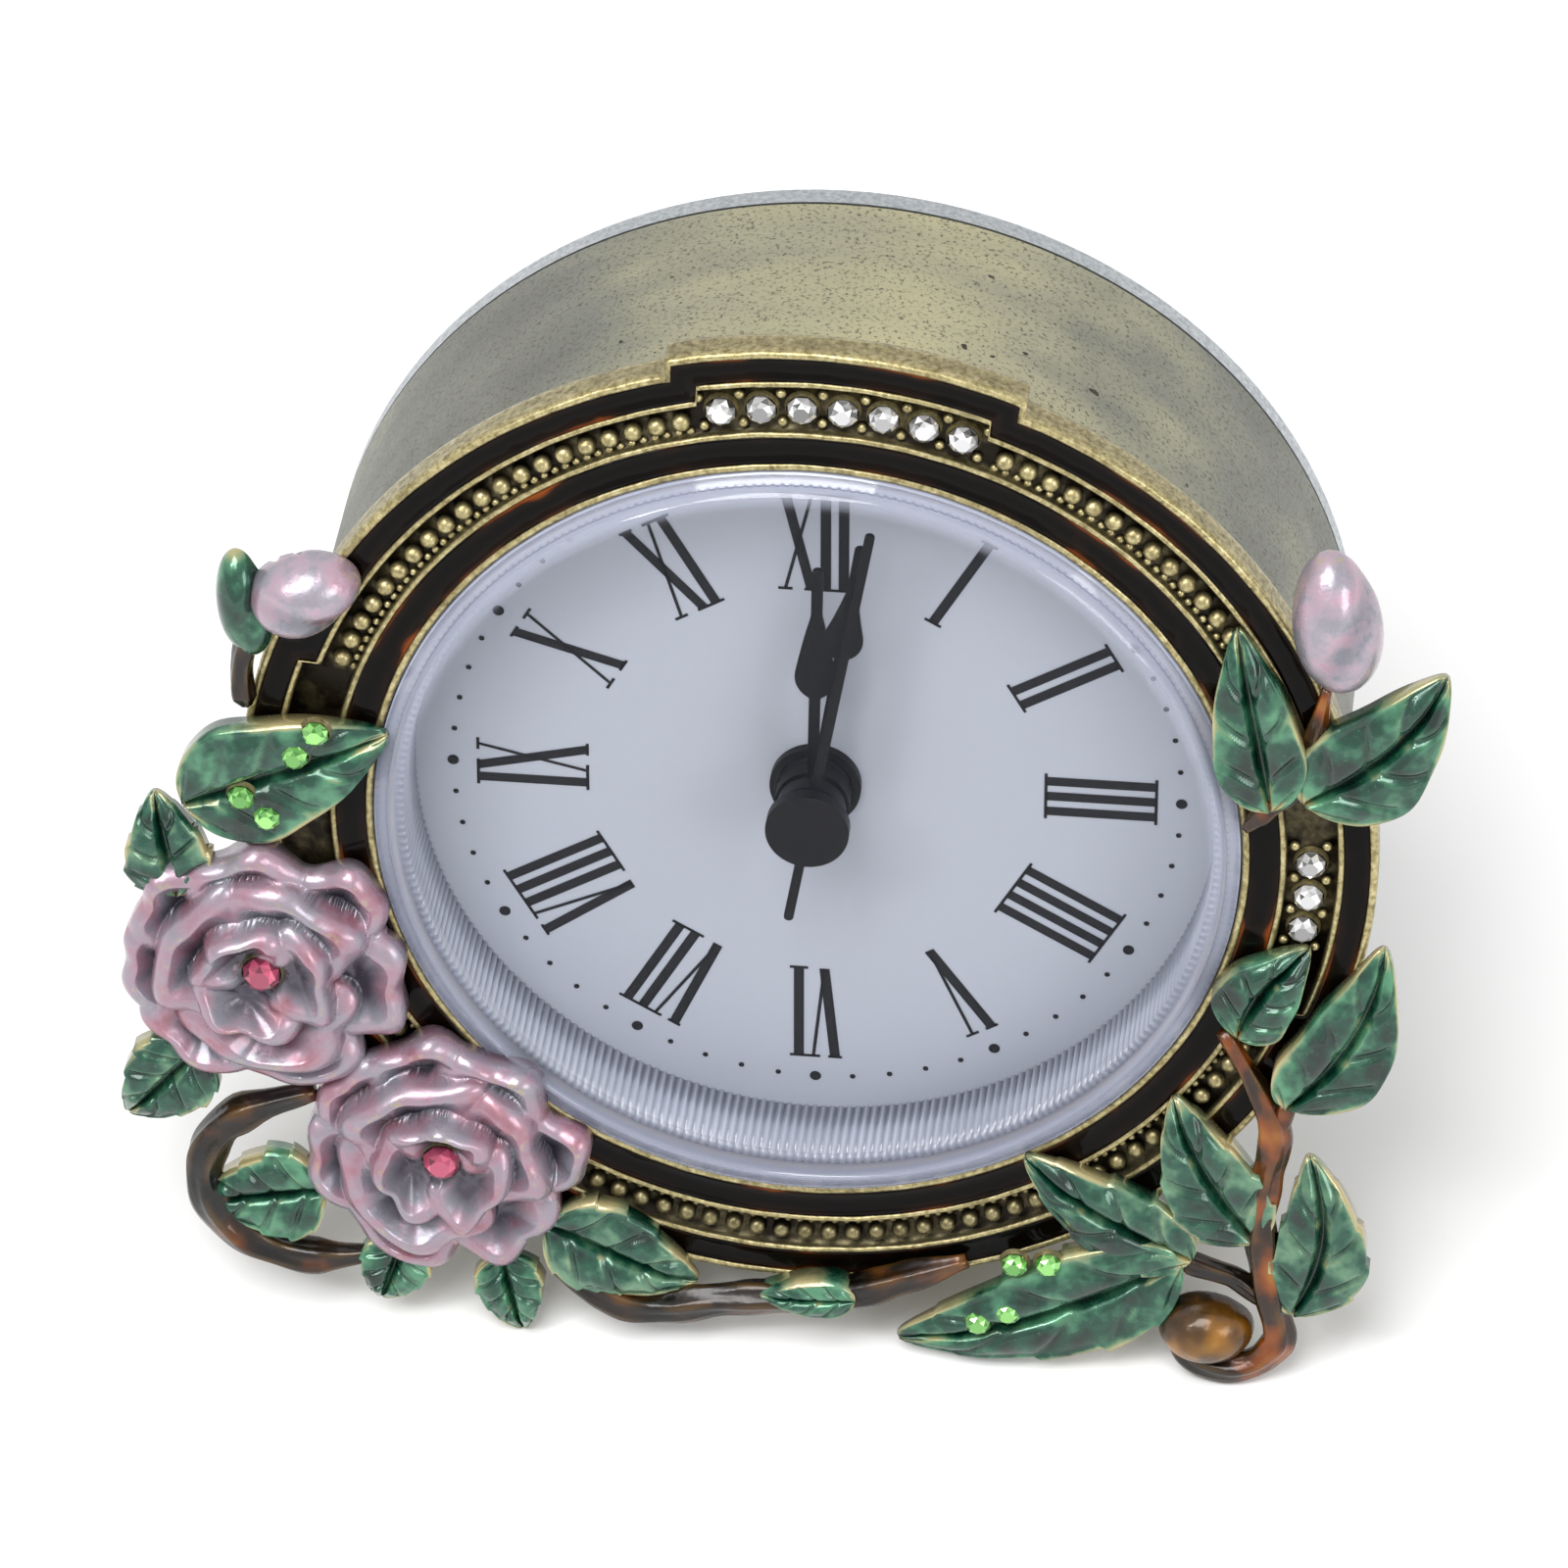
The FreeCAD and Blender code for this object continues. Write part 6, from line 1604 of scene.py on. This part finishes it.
def make_finishes() -> dict[str, bpy.types.Material]:
    """Make every finish of the clock.

    Returns:
        The materials by their names on the bench.
    """
    return {
        "antique_brass": AntiqueBrass().make(),
        "rubbed_gold": RubbedGold().make(),
        "grey_metal": FrameMetal("tumbled_zinc", "#BDC1C4", "#989DA1", 0.42).make(),
        "cup_brass": FrameMetal("turned_brass", "#C9AF6B", "#A58D50", 0.30).make(),
        "spring_steel": FrameMetal("rolled_steel", "#B4B4B5", "#8F8F90", 0.28).make(),
        "magnet": FrameMetal("sintered_magnet", "#4A4A4C", "#333335", 0.5).make(),
        "copper": FrameMetal("varnished_copper_wire", "#A9562A", "#7C3A18", 0.3, 0.15).make(),
        "hand_black": Moulded("satin_black_lacquer", "#0E0E0F", 0.38, 0.12).make(),
        "dial_ink": Moulded("dial_ink", "#1E1E20", 0.55, 0.1).make(),
        "dial_card": Moulded("white_dial_card", "#A2A7B2", 0.6).make(),
        "black_plastic": Moulded("black_abs", "#17171A", 0.5).make(),
        "white_plastic": Moulded("natural_acetal", "#E4E2DA", 0.42).make(),
        "rubber": Moulded("black_grip_rubber", "#101010", 0.75).make(),
        "board": Moulded("green_circuit_board", "#1E5A38", 0.35).make(),
        "ring_enamel": PooledEnamel().make(),
        "petal_enamel": PetalEnamel("pearl_pink_enamel", "#93656F", "#AB8192", "#C0A4B0").make(),
        "bud_enamel": PetalEnamel("pale_bud_enamel", "#AB8A99", "#B9A0AD", "#C6B6BF", 2.2, 0.5).make(),
        "emerald_enamel": LeafEnamel("emerald_enamel", "#031E16", "#0A4432", "#4C8564").make(),
        "moss_enamel": LeafEnamel("moss_enamel", "#04211A", "#114B38", "#62896B").make(),
        "amber_enamel": AmberEnamel("amber_enamel", "#0E0804", "#2E1806", "#7C3C08", "#9A6218").make(),
        "dark_amber_enamel": AmberEnamel("dark_amber_enamel", "#080503", "#1A0E05", "#4E2808",
                                         "#85500F").make(),
        "golden_brown_enamel": AmberEnamel("golden_brown_enamel", "#1C1005", "#4A2F0A", "#865814",
                                           "#AD8030").make(),
        "clear_stone": CutStone("clear_cut_glass", "#F4F4F6", "#35332F").make(),
        "green_stone": CutStone("peridot_cut_glass", "#9BE078", "#2E7A20").make(),
        "pink_stone": CutStone("rose_cut_glass", "#D5577A", "#5C0F28").make(),
        "clear_window": ClearAcrylic("clear_acrylic_window", "#AEB3C6", 0.01, 0.7).make(),
        "fluted_wall": FlutedAcrylic().make(),
    }


@dataclass
class Studio:
    """White floor and surround, soft lamps and the camera of the photograph."""

    stand: Matrix
    lens_mm: float = 204.4
    sensor_mm: float = 36.0
    camera_place: Spot = (56.4, -538.4, 381.7)
    camera_aim: Spot = (-2.4, 7.4, -0.2)
    lamp_aim: Spot = (0.0, 0.0, 0.05)
    floor_size: float = 3.0
    fade: Place = (0.22, 0.60)
    fade_glow: float = 0.6

    def add_camera(self) -> None:
        """Put the camera where the photograph was taken, in the dial's own frame."""
        data = bpy.data.cameras.new("photo_camera")
        data.lens = self.lens_mm
        data.sensor_width = self.sensor_mm
        data.clip_end = 10.0
        camera = bpy.data.objects.new("photo_camera", data)
        bpy.context.scene.collection.objects.link(camera)
        place, aim = Vector(self.camera_place), Vector(self.camera_aim)
        back = (place - aim).normalized()
        right = Vector((0, 0, 1)).cross(back).normalized()
        upward = back.cross(right)
        turn = Matrix((right, upward, back)).transposed().to_4x4()
        lean = self.stand.to_3x3().normalized().to_4x4()
        camera.matrix_world = Matrix.Translation(self.stand @ place) @ lean @ turn
        bpy.context.scene.camera = camera

    def add_lamp(self, name: str, place: Spot, size: float, power: float) -> None:
        """Add a soft square lamp that faces the clock.

        Args:
            name: its name.
            place: where it hangs, in metres.
            size: its side in metres.
            power: its power in watts.
        """
        data = bpy.data.lights.new(name, "AREA")
        data.size = size
        data.energy = power
        lamp = bpy.data.objects.new(name, data)
        bpy.context.scene.collection.objects.link(lamp)
        lamp.location = place
        lamp.rotation_euler = (Vector(self.lamp_aim) - Vector(place)).to_track_quat("-Z", "Y").to_euler()

    def add_floor(self) -> None:
        """Lay a white floor that keeps the clock's shadow and runs out into the white background."""
        bm = bmesh.new()
        bmesh.ops.create_grid(bm, x_segments=1, y_segments=1, size=self.floor_size / 2)
        mesh = bpy.data.meshes.new("floor")
        bm.to_mesh(mesh)
        bm.free()
        floor = bpy.data.objects.new("floor", mesh)
        bpy.context.scene.collection.objects.link(floor)
        it = Finish("white_paper")
        place = it.add("ShaderNodeTexCoord").outputs["Object"]
        away = it.add("ShaderNodeVectorMath", {0: place}, operation="LENGTH").outputs["Value"]
        glow = it.spread(away, *self.fade, 0.0, self.fade_glow)
        lift = it.math("MULTIPLY", glow, looking_rays(it.material.node_tree))
        it.surface(Base_Color=linear("#F2F2F2"), Roughness=0.9)
        it.surface(Emission_Color=linear(WHITE), Emission_Strength=lift)
        mesh.materials.append(it.material)

    def add_world(self) -> None:
        """Fill with an even surround, pure white wherever the camera, gloss or glass looks at it."""
        world = bpy.data.worlds.new("studio_white")
        world.use_nodes = True
        tree = world.node_tree
        back = tree.nodes["Background"]
        back.inputs["Color"].default_value = linear(WHITE)
        strength = tree.nodes.new("ShaderNodeMapRange")
        strength.inputs["To Min"].default_value = SURROUND
        tree.links.new(looking_rays(tree), strength.inputs["Value"])
        tree.links.new(strength.outputs[0], back.inputs["Strength"])
        bpy.context.scene.world = world

    def build(self) -> None:
        """Set up floor, light and camera."""
        self.add_camera()
        self.add_floor()
        self.add_world()
        self.add_lamp("key_above", (-0.15, -0.30, 0.9), 0.5, 6.5)
        self.add_lamp("fill_right", (0.7, -0.5, 0.45), 0.4, 2.4)
        self.add_lamp("spark_left", (-0.45, -0.35, 0.65), 0.12, 1.0)
        bpy.context.scene.view_settings.view_transform = "Standard"


def main() -> None:
    """Build the clock's looks on its frame."""
    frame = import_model()
    stand = clock_frame(frame["joints"])
    Studio(stand).build()
    bench = Bench(stand, make_finishes())
    dress_nodes(frame["nodes"], bench.finishes)
    for part in (FaceRing, Foliage, Roses, Buds, Vines, Stones, Beadwork, DialPrint, Lens):
        part(bench).build()


if __name__ == "__main__":
    main()
